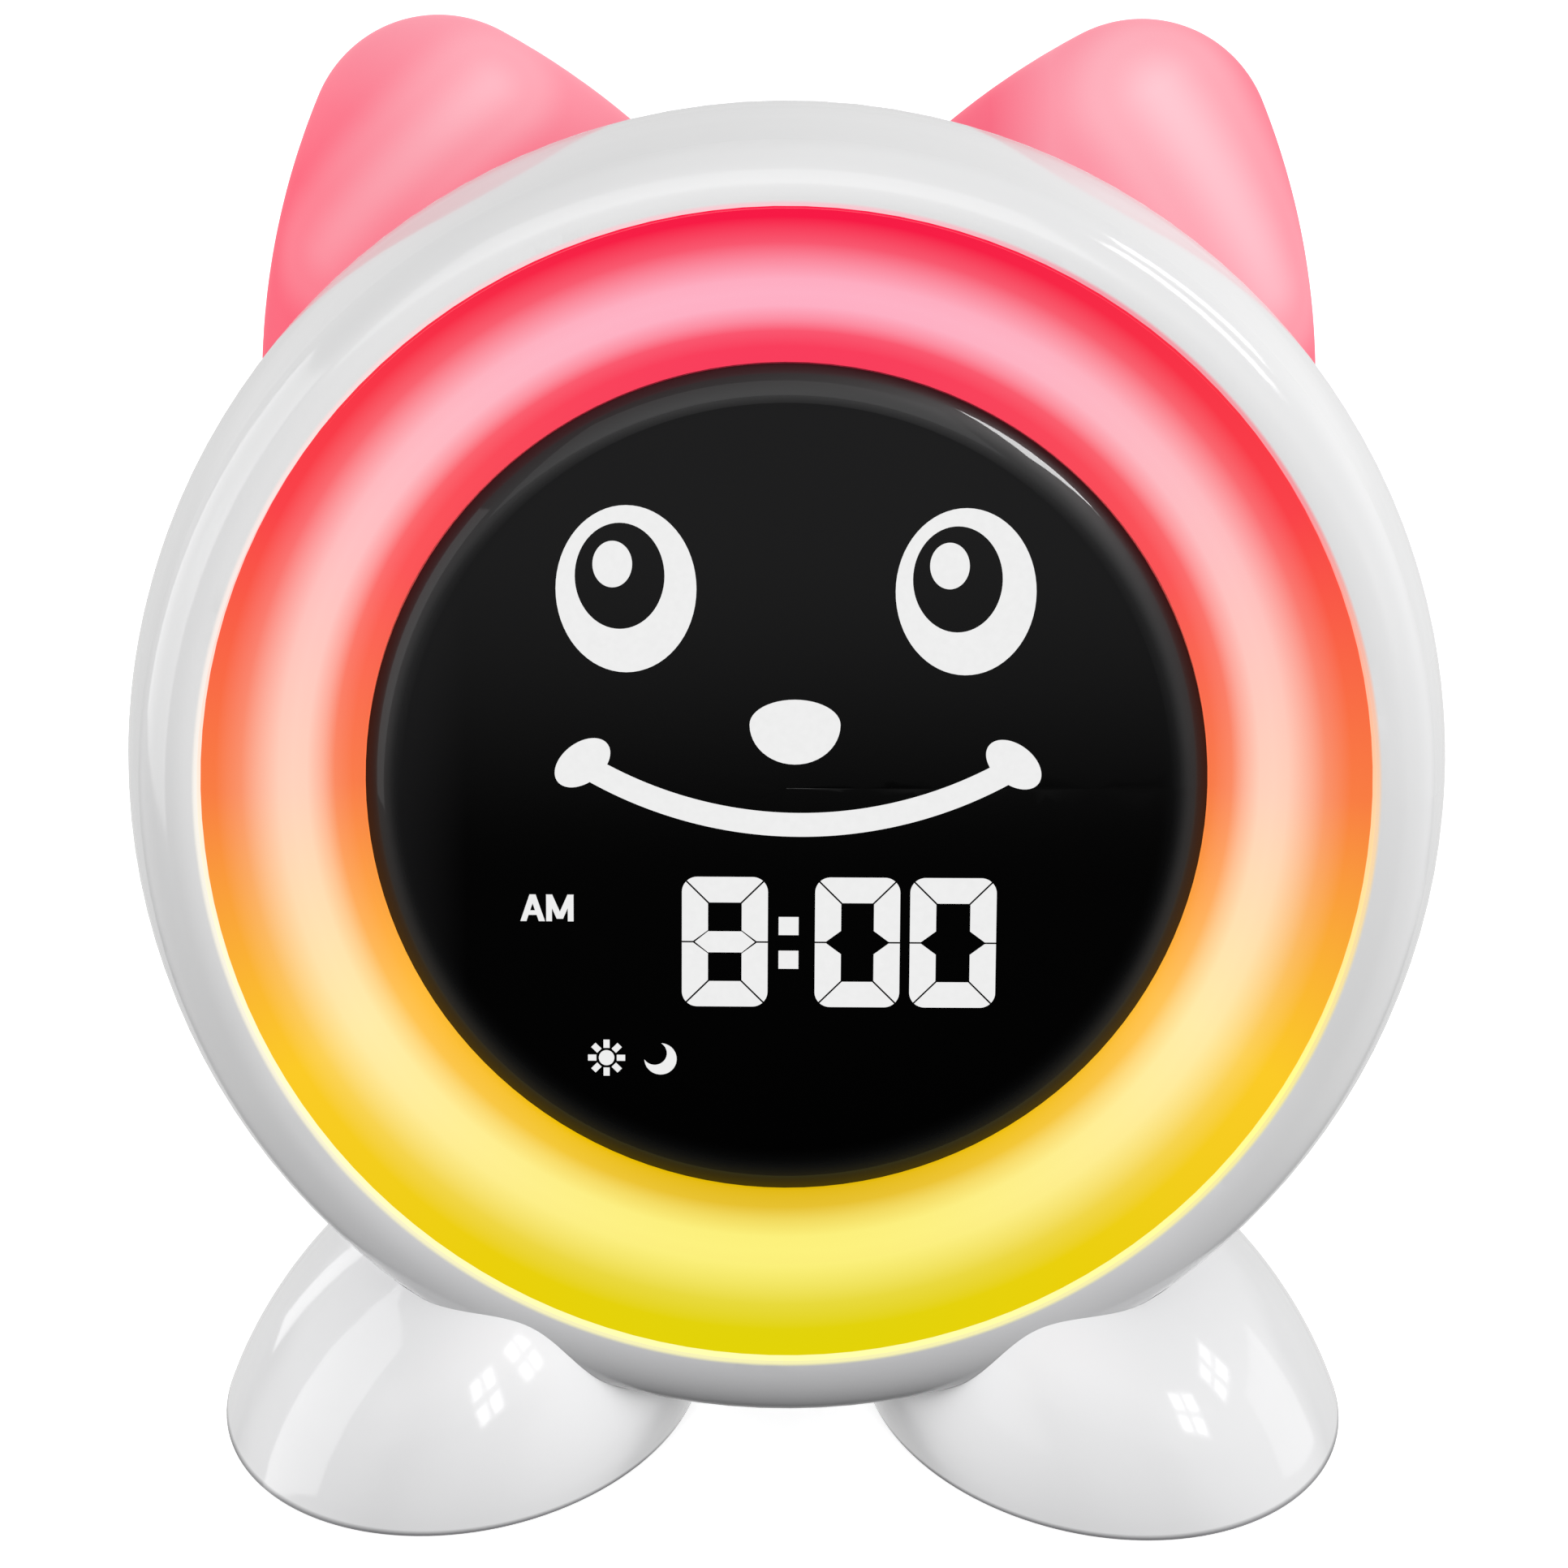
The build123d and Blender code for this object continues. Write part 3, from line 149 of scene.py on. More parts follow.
def ramp(tree, factor, stops, interpolation="LINEAR"):
    """A colour ramp of (position, colour) stops."""
    made = tree.nodes.new("ShaderNodeValToRGB")
    made.color_ramp.interpolation = interpolation
    elements = made.color_ramp.elements
    while len(elements) < len(stops):
        elements.new(0.5)
    for element, (position, colour) in zip(elements, stops):
        element.position = position
        element.color = colour
    connect(tree, factor, made.inputs["Fac"])
    return made.outputs["Color"]


def grey_stops(stops):
    """Stops of (position, level) as ramp stops."""
    return [(position, grey(level)) for position, level in stops]


def mix(tree, factor, first, second, blend="MIX"):
    """A mix of two colours."""
    inputs = {0: factor, 6: first, 7: second}
    return node(tree, "ShaderNodeMix", inputs, 2, data_type="RGBA", blend_type=blend)


def spread(tree, value, low, high):
    """A 0 to 1 value turned into a range of values."""
    inputs = {"Value": value, "To Min": low, "To Max": high}
    return node(tree, "ShaderNodeMapRange", inputs)


def fade(tree, value, start, end, interpolation="SMOOTHSTEP"):
    """A step from 0 at the start to 1 at the end."""
    inputs = {"Value": value, "From Min": start, "From Max": end}
    return node(tree, "ShaderNodeMapRange", inputs, interpolation_type=interpolation)


def bump(tree, height, distance):
    """Surface relief from a height pattern, with its depth in metres."""
    inputs = {"Height": height, "Distance": distance, "Strength": 1.0}
    return node(tree, "ShaderNodeBump", inputs)


def hypotenuse(tree, first, second):
    """Length of the diagonal of two sides."""
    squares = [calc(tree, "MULTIPLY", side, side) for side in (first, second)]
    return calc(tree, "SQRT", calc(tree, "ADD", *squares))


def new_material(name):
    """A new material; gives it, its tree and its Principled shader's inputs."""
    made = bpy.data.materials.new(name)
    made.use_nodes = True
    return made, made.node_tree, made.node_tree.nodes["Principled BSDF"].inputs


# ---------------------------------------------------------------------------
# Plastics, metals and papers
# ---------------------------------------------------------------------------

# Noise as scale in cycles a metre, detail and roughness, and relief in metres
FLOW = (35.0, 3.0)
HANDLED = (60.0, 4.0, 0.6)
GRAIN_SCALE = 900.0
GRAIN_DETAIL = 3.0
RELIEF = 0.000004
COAT_ROUGHNESS = 0.05


def worn_skin(tree, patches, roughness, grain, relief):
    """Handled patches in a skin's gloss, and its fine relief."""
    return {
        "Roughness": spread(tree, noise(tree, *patches), *roughness),
        "Normal": bump(tree, noise(tree, *grain), relief),
    }


def moulded(
    name, light, dark, roughness, relief=RELIEF, grain=GRAIN_SCALE, coat=0.0, metallic=0.0
):
    """A moulding with faint flow in its tone, fine relief and handled patches in its gloss."""
    made, tree, sockets = new_material(name)
    looks = {
        "Base Color": mix(tree, noise(tree, *FLOW), srgb(*dark), srgb(*light)),
        "Metallic": metallic,
        "Coat Weight": coat,
        "Coat Roughness": COAT_ROUGHNESS,
        **worn_skin(tree, HANDLED, roughness, (grain, GRAIN_DETAIL), relief),
    }
    connect_all(tree, looks, sockets)
    return made


def overpaint(made, share, colour):
    """Cover a share of a moulding with another tone."""
    tree = made.node_tree
    base = tree.nodes["Principled BSDF"].inputs["Base Color"]
    connect(tree, mix(tree, share, base.links[0].from_socket, srgb(*colour)), base)


# The ring's light from the bottom of the face (-1) to its top (1)
LIT_EDGE = [
    (-1.00, (223, 208, 0)),
    (-0.85, (232, 205, 4)),
    (-0.50, (249, 200, 36)),
    (0.00, (247, 124, 66)),
    (0.50, (248, 66, 72)),
    (1.00, (245, 24, 68)),
]
# The ring's light along its inner edge beside the lens: more orange than the outer edge towards the
# bottom, with painted shade from the lens there
LIT_INNER = [
    (-1.00, (224, 182, 0)),
    (-0.85, (238, 190, 4)),
    (-0.50, (253, 185, 56)),
    (0.00, (247, 122, 70)),
    (0.50, (250, 84, 86)),
    (1.00, (249, 62, 92)),
]
LIT_MIDDLE = [
    (-1.00, (248, 237, 120)),
    (-0.50, (254, 233, 166)),
    (0.00, (254, 209, 187)),
    (0.50, (253, 192, 194)),
    (1.00, (253, 176, 197)),
]
# The pale band along the ring's middle, with its strength from the inside out
BAND_RADIUS = 47.3
BAND_ACROSS = -0.3
BAND_UP = 0.9
BAND_WIDTH = 16.0
BAND_GLOW = [
    (0.15, 0.0),
    (0.25, 0.12),
    (0.32, 0.55),
    (0.41, 0.97),
    (0.49, 1.0),
    (0.57, 0.94),
    (0.68, 0.58),
    (0.79, 0.2),
    (0.94, 0.0),
]
RING_GLOW = 0.97
RING_DIM = 0.94  # share of black in the unlit ring
RING_SPECULAR = 0.12
RING_HANDLED = (80.0, 3.0)
RING_ROUGHNESS = (0.28, 0.38)
RING_GRAIN = (1500.0,)
RING_RELIEF = 0.000003


def rise_share(tree, up, radius):
    """Place round the face: 0 at its bottom and 1 at its top."""
    return calc(tree, "MULTIPLY_ADD", calc(tree, "DIVIDE", up, radius), 0.5, 0.5)


def rise_ramp(tree, turn, stops):
    """A ramp round the face from colour stops given from -1 to 1."""
    return ramp(tree, turn, [((share + 1) / 2, srgb(*colour)) for share, colour in stops])


def opal_ring(name):
    """The lit ring: red at the top, orange at the sides, yellow below, paler along its middle."""
    made, tree, sockets = new_material(name)
    across = along(tree, ACROSS)
    up = along(tree, UP)
    radius = hypotenuse(tree, across, up)
    turn = rise_share(tree, up, radius)
    outer, inner, middle = (
        rise_ramp(tree, turn, stops) for stops in (LIT_EDGE, LIT_INNER, LIT_MIDDLE)
    )
    # Inside the band's radius the ring takes its inner-edge tones, which hold painted shade from
    # the lens along the bottom
    edge = mix(tree, calc(tree, "GREATER_THAN", radius, BAND_RADIUS), inner, outer)
    off_across = calc(tree, "SUBTRACT", across, BAND_ACROSS)
    off_up = calc(tree, "SUBTRACT", up, BAND_UP)
    from_band = calc(tree, "SUBTRACT", hypotenuse(tree, off_across, off_up), BAND_RADIUS)
    share = calc(tree, "ADD", calc(tree, "DIVIDE", from_band, BAND_WIDTH), 0.5)
    lit = mix(tree, ramp(tree, share, grey_stops(BAND_GLOW)), edge, middle)
    looks = {
        "Emission Color": lit,
        "Emission Strength": RING_GLOW,
        "Specular IOR Level": RING_SPECULAR,
        "Base Color": mix(tree, RING_DIM, lit, BLACK),
        **worn_skin(tree, RING_HANDLED, RING_ROUGHNESS, RING_GRAIN, RING_RELIEF),
    }
    connect_all(tree, looks, sockets)
    return made


# The lamp's streak in each ear (-1 left, 1 right): its two ends, its reach in millimetres, how
# much of it is left at its far end, and its tone
EAR_STREAKS = {
    -1: ((-29.8, 65.8, -14.0), (-46.5, 49.5, -12.0), 8.5, 0.45, (254, 183, 195)),
    1: ((36.8, 65.5, -14.0), (49.0, 46.5, -12.0), 11.5, 0.8, (254, 198, 208)),
}
STREAK_FADE = [(0.0, 1.0), (0.5, 0.5), (1.0, 0.0)]
RIPPLE_SCALE = 45.0
STREAK_RIPPLE = 0.02
# Each ear's pink away from the streak, by millimetres along an axis of the face
EAR_PINK_AXIS = {-1: ACROSS * 0.26 + UP * 0.966, 1: ACROSS}
EAR_PINK = {
    -1: [
        (33.0, (249, 96, 119)),
        (41.0, (250, 96, 120)),
        (49.0, (251, 118, 139)),
        (61.0, (252, 158, 174)),
    ],
    1: [
        (20.0, (250, 108, 132)),
        (26.0, (252, 150, 167)),
        (34.0, (252, 142, 160)),
        (50.0, (249, 106, 129)),
    ],
}
EAR_GLOW = 0.78
EAR_DIM = 0.8  # share of black in the unlit ear
EAR_SPECULAR = 0.2
EAR_HANDLED = (90.0, 3.0)
EAR_ROUGHNESS = (0.42, 0.55)
EAR_GRAIN = (2600.0,)
EAR_RELIEF = 0.000005


def from_line(tree, start, end):
    """Millimetres from a line between two places on the head, and the share along it."""
    origin = face_point(*start)
    step = face_point(*end) - origin
    offset = vector_calc(tree, "SUBTRACT", {0: place_of(tree), 1: origin})
    per_step = tuple(step / step.length_squared)
    share = vector_calc(tree, "DOT_PRODUCT", {0: offset, 1: per_step}, "Value")
    held = calc(tree, "MULTIPLY", share, 1.0, clamp=True)
    nearest = vector_calc(tree, "SCALE", {0: step, "Scale": held})
    gap = vector_calc(tree, "DISTANCE", {0: offset, 1: nearest}, "Value")
    return calc(tree, "MULTIPLY", gap, 1 / MM), held


def lit_ear(name, side):
    """An ear of pink silicone, with the pale streak of the lamp that shines through it."""
    made, tree, sockets = new_material(name)
    start, end, reach, left_over, streak_tone = EAR_STREAKS[side]
    gap, held = from_line(tree, start, end)
    ripple = spread(tree, noise(tree, RIPPLE_SCALE), -STREAK_RIPPLE, STREAK_RIPPLE)
    gap = calc(tree, "ADD", calc(tree, "DIVIDE", gap, reach), ripple)
    near = ramp(tree, gap, grey_stops(STREAK_FADE), "EASE")
    streak = calc(tree, "MULTIPLY", near, spread(tree, held, 1.0, left_over))
    tones = EAR_PINK[side]
    low, high = tones[0][0], tones[-1][0]
    from_low = calc(tree, "SUBTRACT", along(tree, EAR_PINK_AXIS[side]), low)
    share = calc(tree, "DIVIDE", from_low, high - low)
    pink = ramp(tree, share, [((stop - low) / (high - low), srgb(*tone)) for stop, tone in tones])
    lit = mix(tree, streak, pink, srgb(*streak_tone))
    looks = {
        "Emission Color": lit,
        "Emission Strength": EAR_GLOW,
        "Specular IOR Level": EAR_SPECULAR,
        "Base Color": mix(tree, EAR_DIM, lit, BLACK),
        **worn_skin(tree, EAR_HANDLED, EAR_ROUGHNESS, EAR_GRAIN, EAR_RELIEF),
    }
    connect_all(tree, looks, sockets)
    return made


SHELL_DARK = (217, 217, 218)
SHELL_LIGHT = (222, 222, 222)
# Painted shade on the shell, from the bottom of the face (0) up: darkest at the bottom, none higher
# up
SHELL_SHADE = [(0.0, (0.74, 0.74, 0.75, 1)), (0.12, (0.92, 0.92, 0.93, 1)), (0.25, grey(1.0))]
# The ring's glow on the lip, left and right, from the bottom of the face (-1) to its top (1)
LIP_LEFT = [
    (-1.00, (252, 247, 185)),
    (-0.50, (255, 249, 222)),
    (0.00, (255, 251, 243)),
    (0.50, (255, 238, 234)),
    (1.00, (255, 208, 216)),
]
LIP_RIGHT = [
    (-1.00, (252, 247, 182)),
    (-0.50, (254, 242, 155)),
    (0.00, (255, 216, 178)),
    (0.50, (252, 160, 166)),
    (0.87, (250, 162, 176)),
    (1.00, (255, 205, 214)),
]
LIP_TONE = (30, 26, 22)
LIP_GLOW = 0.96
LIP_GLOW_DEPTH = 6.0  # the shell shows the glow only in front of this depth
LIP_GLOW_START = 56.9
LIP_GLOW_FULL = 56.5
# Its fainter glow on the slope outside the lip
SLOPE_GLOW_END = 61.0
SLOPE_GLOW = [(0.3, 0.0), (0.55, 0.12), (1.0, 0.19)]
# Painted light: the right ear's pink glow, painted on the shell beside it
PAINTED_EAR_LIGHT = (54.0, 39.5, -4.0)
PAINTED_EAR_LIGHT_REACH = 9.0
PAINTED_EAR_LIGHT_FADE = [(0.0, 0.45), (1.0, 0.0)]
PAINTED_EAR_LIGHT_TONE = (255, 172, 190)
# Beside the ears the shell is less glossy near its seam
CALM_REACH = 14.0
CALM_GAIN = 1.6
CALM_TURN = 0.6
SHELL_SPECULAR = (0.5, 0.05)
SHELL_COAT = (0.4, 0.0)
SHELL_ROUGHNESS = (0.10, 0.16)


def seam_calm(tree, depth, turn):
    """How much of its gloss the shell loses: 1 at the seam beside the ears, 0 away from it."""
    from_seam = calc(tree, "DIVIDE", calc(tree, "ABSOLUTE", depth), CALM_REACH)
    calm = calc(tree, "SUBTRACT", 1.0, from_seam, clamp=True)
    calm = calc(tree, "MULTIPLY", calm, CALM_GAIN, clamp=True)
    return calc(tree, "MULTIPLY", calm, calc(tree, "GREATER_THAN", turn, CALM_TURN))


def lit_shell(name):
    """Gloss white casing with the ring's light painted as a glow on its lip, an ear's pink light
    painted beside it, and painted shade towards the bottom of the face.
    """
    made, tree, sockets = new_material(name)
    across = along(tree, ACROSS)
    up = along(tree, UP)
    depth = along(tree, NORMAL)
    radius = hypotenuse(tree, across, up)
    turn = rise_share(tree, up, radius)

    tone = mix(tree, noise(tree, *FLOW), srgb(*SHELL_DARK), srgb(*SHELL_LIGHT))
    # Painted light: the right ear's pink glow mixed into the shell's tone beside it
    gap = vector_calc(tree, "DISTANCE", {0: place_of(tree), 1: face_point(*PAINTED_EAR_LIGHT)}, "Value")
    share = calc(tree, "DIVIDE", gap, PAINTED_EAR_LIGHT_REACH * MM)
    painted_ear_light = ramp(tree, share, grey_stops(PAINTED_EAR_LIGHT_FADE), "EASE")
    tone = mix(tree, painted_ear_light, tone, srgb(*PAINTED_EAR_LIGHT_TONE))
    # Painted shade: the shell's tone darkened towards the bottom of the face
    tone = mix(tree, 1.0, tone, ramp(tree, turn, SHELL_SHADE), "MULTIPLY")

    in_front = calc(tree, "GREATER_THAN", depth, LIP_GLOW_DEPTH)
    slope = fade(tree, radius, SLOPE_GLOW_END, LIP_GLOW_START)
    on_slope = calc(tree, "MULTIPLY", slope, in_front)
    lip = fade(tree, radius, LIP_GLOW_START, LIP_GLOW_FULL)
    on_lip = calc(tree, "MULTIPLY", lip, in_front)
    slope_glow = mix(tree, on_slope, BLACK, ramp(tree, turn, grey_stops(SLOPE_GLOW)))
    left, right = (rise_ramp(tree, turn, stops) for stops in (LIP_LEFT, LIP_RIGHT))
    lip_glow = mix(tree, calc(tree, "GREATER_THAN", across, 0.0), left, right)

    calm = seam_calm(tree, depth, turn)
    looks = {
        "Base Color": mix(tree, on_lip, tone, srgb(*LIP_TONE)),
        "Emission Color": mix(tree, on_lip, slope_glow, lip_glow),
        "Emission Strength": LIP_GLOW,
        "Specular IOR Level": spread(tree, calm, *SHELL_SPECULAR),
        "Coat Weight": spread(tree, calm, *SHELL_COAT),
        "Coat Roughness": COAT_ROUGHNESS,
        **worn_skin(tree, HANDLED, SHELL_ROUGHNESS, (GRAIN_SCALE, GRAIN_DETAIL), RELIEF),
    }
    connect_all(tree, looks, sockets)
    return made


# Painted reflection: the lens's tone, lighter from the bottom (0) to the top (1) of its height
LENS_HEIGHT = 82.0
LENS_TONES = [(0.0, (1, 1, 1)), (0.45, (5, 5, 5)), (1.0, (18, 18, 19))]
# Painted reflection: the lens lighter towards its left
LENS_LEFT_START = -31.0
LENS_LEFT_END = -39.5
LENS_LEFT_TONE = (27, 27, 28)
# Painted reflection: a lighter tone on the lens's turned-down edge
LENS_EDGE_START = 36.2
LENS_EDGE_END = 39.6
LENS_EDGE_TONE = (17, 18, 19)
LENS_SPECULAR = (0.5, 0.22)
LENS_GLOSS = (0.035, 0.07)
LENS_HANDLED = (70.0, 5.0, 0.65)
LENS_SATIN = 0.42
LENS_GRAIN = 500.0
LENS_RELIEF = 0.000001
LENS_COAT = 0.35
LENS_COAT_ROUGHNESS = 0.04


def smoked_lens(name):
    """Gloss black lens with painted reflection, lighter to its top and left and on its turned-down
    edge, which is satin.
    """
    made, tree, sockets = new_material(name)
    across = along(tree, ACROSS)
    up = along(tree, UP)
    height = calc(tree, "ADD", calc(tree, "DIVIDE", up, LENS_HEIGHT), 0.5)
    # Painted reflection in the lens's tone: lighter to the top, the left and the edge
    tone = ramp(tree, height, [(position, srgb(*colour)) for position, colour in LENS_TONES])
    to_left = fade(tree, across, LENS_LEFT_START, LENS_LEFT_END, "LINEAR")
    tone = mix(tree, to_left, tone, srgb(*LENS_LEFT_TONE))
    edge = fade(tree, hypotenuse(tree, across, up), LENS_EDGE_START, LENS_EDGE_END)
    gloss = spread(tree, noise(tree, *LENS_HANDLED), *LENS_GLOSS)
    satin = calc(tree, "MULTIPLY", edge, LENS_SATIN)
    looks = {
        "Base Color": mix(tree, edge, tone, srgb(*LENS_EDGE_TONE)),
        "Specular IOR Level": spread(tree, edge, *LENS_SPECULAR),
        "Roughness": calc(tree, "ADD", gloss, satin),
        "Normal": bump(tree, noise(tree, LENS_GRAIN), LENS_RELIEF),
        "Coat Weight": LENS_COAT,
        "Coat Roughness": LENS_COAT_ROUGHNESS,
    }
    connect_all(tree, looks, sockets)
    return made


# Painted shade of the crease over the sole: it darkens the foot up to this height, and fully below
# the second
FOOT_SHADE_TOP = 1.2
FOOT_SHADE_FULL = 0.7
FOOT_SHADE_TONE = (132, 132, 134)


def foot_shell(name):
    """Gloss white foot, with painted shade along the crease over its sole."""
    # The foot's white is set lighter than the shell's: painted light standing in for light from the
    # table on the feet
    made = moulded(name, (233, 233, 234), (228, 228, 229), (0.07, 0.12), coat=0.5)
    # Painted shade along the crease over the sole
    height = along(made.node_tree, Vector((0, 0, 1)), cad_low)
    shade = fade(made.node_tree, height, FOOT_SHADE_TOP, FOOT_SHADE_FULL, "LINEAR")
    overpaint(made, shade, FOOT_SHADE_TONE)
    return made


ZINC = ((190, 192, 196), (150, 153, 158), (0.22, 0.38))
# Painted shade: the cross recess for the driver, painted dark on the screw's head
CROSS_HALF_WIDTH = 0.32
CROSS_HALF_LENGTH = 1.3
CROSS_SHADE_TONE = (22, 22, 24)


def crossed_screw(name):
    """Plated screw with painted shade in the shape of the dark cross its driver fits."""
    made = moulded(name, *ZINC, metallic=1.0)
    tree = made.node_tree
    low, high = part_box("door_screw")
    sides = [calc(tree, "ABSOLUTE", along(tree, axis, (low + high) / 2)) for axis in (ACROSS, UP)]
    narrow = calc(tree, "LESS_THAN", calc(tree, "MINIMUM", *sides), CROSS_HALF_WIDTH)
    within = calc(tree, "LESS_THAN", calc(tree, "MAXIMUM", *sides), CROSS_HALF_LENGTH)
    overpaint(made, calc(tree, "MULTIPLY", narrow, within), CROSS_SHADE_TONE)
    return made


ICON_DARK = (236, 236, 236)
ICON_LIGHT = (243, 243, 243)
ICON_UNLIT = (10, 10, 10)
ICON_GRAIN = 1400.0
ICON_GLOW = 0.98
ICON_HANDLED = 300.0
ICON_ROUGHNESS = (0.3, 0.4)


def lit_icon(name):
    """White lit artwork, evenly bright with the faint grain of its diffuser."""
    made, tree, sockets = new_material(name)
    tone = mix(tree, noise(tree, ICON_GRAIN), srgb(*ICON_DARK), srgb(*ICON_LIGHT))
    looks = {
        "Emission Color": tone,
        "Emission Strength": ICON_GLOW,
        "Base Color": srgb(*ICON_UNLIT),
        "Roughness": spread(tree, noise(tree, ICON_HANDLED), *ICON_ROUGHNESS),
    }
    connect_all(tree, looks, sockets)
    return made


TRACK_SCALE = 260.0
TRACK_STOPS = [(0.02, (38, 118, 62)), (0.06, (14, 74, 38))]
TRACK_RELIEF = 0.00001
BOARD_ROUGHNESS = 0.35


def circuit_board(name):
    """Green solder mask over faint copper tracks."""
    made, tree, sockets = new_material(name)
    inputs = {"Vector": place_of(tree), "Scale": TRACK_SCALE}
    tracks = node(tree, "ShaderNodeTexVoronoi", inputs, feature="DISTANCE_TO_EDGE")
    looks = {
        "Base Color": ramp(tree, tracks, [(at, srgb(*tone)) for at, tone in TRACK_STOPS]),
        "Roughness": BOARD_ROUGHNESS,
        "Normal": bump(tree, tracks, TRACK_RELIEF),
    }
    connect_all(tree, looks, sockets)
    return made


# Plain mouldings: light and dark tone and range of roughness, then depth and grain of the relief
MOULDINGS = {
    "door_white": ((222, 223, 224), (216, 217, 219), (0.28, 0.38), 0.00001, 2200.0),
    # The sole's dark grey is painted shade: the shadow line along each foot's bottom
    "sole_white": ((132, 132, 134), (120, 120, 123), (0.45, 0.6), 0.00001, 2000.0),
    "film_print": ((24, 24, 26), (16, 16, 18), (0.3, 0.4)),
    "inner_white": ((226, 226, 222), (216, 216, 210), (0.4, 0.5)),
    "lamp_white": ((240, 236, 214), (226, 220, 190), (0.25, 0.35)),
    "chip_black": ((34, 34, 36), (24, 24, 26), (0.5, 0.6), 0.00001, 3000.0),
    "socket_cream": ((232, 224, 200), (220, 210, 184), (0.4, 0.5)),
    "cable_grey": ((176, 178, 182), (160, 162, 168), (0.4, 0.5)),
    "cone_paper": ((52, 50, 48), (36, 35, 34), (0.7, 0.85), 0.00003, 1800.0),
    "pad_rubber": ((190, 190, 192), (168, 168, 172), (0.65, 0.8), 0.00001, 2600.0),
    "battery_skin": ((70, 74, 82), (52, 55, 62), (0.25, 0.35)),
    "knob_grey": ((120, 122, 126), (104, 106, 110), (0.35, 0.45), 0.00001, 2400.0),
    "key_white": ((226, 227, 229), (219, 220, 222), (0.2, 0.3), 0.00001, 1800.0),
}
METALS = {
    "steel_bright": ((206, 207, 210), (184, 186, 190), (0.2, 0.34)),
    "steel_dark": ((112, 113, 118), (92, 94, 98), (0.3, 0.42)),
    "contact_nickel": ((214, 210, 200), (194, 190, 180), (0.2, 0.32)),
    "screw_zinc": ZINC,
}

finishes = {
    "shell_white": lit_shell("shell_white"),
    "foot_white": foot_shell("foot_white"),
    "ring_opal": opal_ring("ring_opal"),
    "lens_smoked": smoked_lens("lens_smoked"),
    "board_green": circuit_board("board_green"),
    "screw_crossed": crossed_screw("screw_crossed"),
    "ear_pink_left": lit_ear("ear_pink_left", -1),
    "ear_pink_right": lit_ear("ear_pink_right", 1),
    "icon_white": lit_icon("icon_white"),
}
for name, looks in MOULDINGS.items():
    finishes[name] = moulded(name, *looks)
for name, looks in METALS.items():
    finishes[name] = moulded(name, *looks, metallic=1.0)

FINISHED_NODES = {
    "shell_white": ["front_shell", "rear_shell"],
    "foot_white": ["foot_left", "foot_right"],
    "door_white": ["battery_door"],
    "sole_white": ["sole_left", "sole_right"],
    "ring_opal": ["light_ring"],
    "lens_smoked": ["display_lens"],
    "ear_pink_left": ["ear_left"],
    "ear_pink_right": ["ear_right"],
    "film_print": ["legend_film"],
    "inner_white": ["light_frame"],
    "board_green": ["led_board", "main_board", "ear_boards"],
    "lamp_white": ["ring_leds", "display_leds", "ear_leds"],
    "chip_black": ["led_drivers", "main_chips"],
    "socket_cream": ["cable_sockets"],
    "cable_grey": ["display_cable"],
    "steel_bright": ["usb_socket", "speaker_basket"],
    "steel_dark": ["speaker_magnet", "slide_switch", "tact_switches"],
    "cone_paper": ["speaker_cone"],
    "pad_rubber": ["foot_pads"],
    "battery_skin": ["batteries"],
    "contact_nickel": ["battery_plates", "battery_springs"],
    "knob_grey": ["switch_knob"],
    "key_white": [f"button_{key}" for key in ("time", "alarm", "up", "down", "light", "sound")],
    "screw_zinc": [f"{held}_screws" for held in ("shell", "board", "main_board", "foot", "sole")],
    "screw_crossed": ["door_screw"],
}


def dress(piece, finish):
    """Give a piece one material."""
    piece.data.materials.clear()
    piece.data.materials.append(finish)


for finish, names in FINISHED_NODES.items():
    for name in names:
        dress(frame["nodes"][name], finishes[finish])
for name in frame["nodes"]:
    frame["nodes"][name].data.shade_smooth()


def add_object(name, data):
    """A new object in the scene."""
    made = bpy.data.objects.new(name, data)
    bpy.context.scene.collection.objects.link(made)
    return made


# ---------------------------------------------------------------------------
# Lit artwork on the lens: thin plates laid on its crown, in millimetres across and up
# ---------------------------------------------------------------------------

ART_DEPTH = 12.2  # depth at which the artwork's places are given
LENS_TOP = 13.2
LENS_CROWN = 0.8
LENS_FLAT_RADIUS = 37.55
ART_PROUD = 0.06
ART_SUNK = 0.15
VIEW_DROP = 11.65  # degrees that the camera looks down on the face
SAME_POINT = 1e-5


def lens_depth(across, up):
    """Depth of the lens's crowned front at a place."""
    return LENS_TOP - LENS_CROWN * (across**2 + up**2) / LENS_FLAT_RADIUS**2


def on_lens(across, up, lift):
    """A place on the lens, seen from the front where the artwork's plane holds it."""
    rise = lens_depth(across, up) - ART_DEPTH
    return face_point(across, up + rise * sin(radians(VIEW_DROP)), ART_DEPTH + rise + lift)


def inside(point, loop):
    """True where a point lies within a closed loop."""
    within = False
    for (x1, y1), (x2, y2) in zip(loop, loop[1:] + loop[:1]):
        if (y1 > point[1]) != (y2 > point[1]):
            if point[0] < (x2 - x1) * (point[1] - y1) / (y2 - y1) + x1:
                within = not within
    return within


def in_any(point, loops):
    """True where a point lies within one of some closed loops."""
    return any(inside(point, loop) for loop in loops)


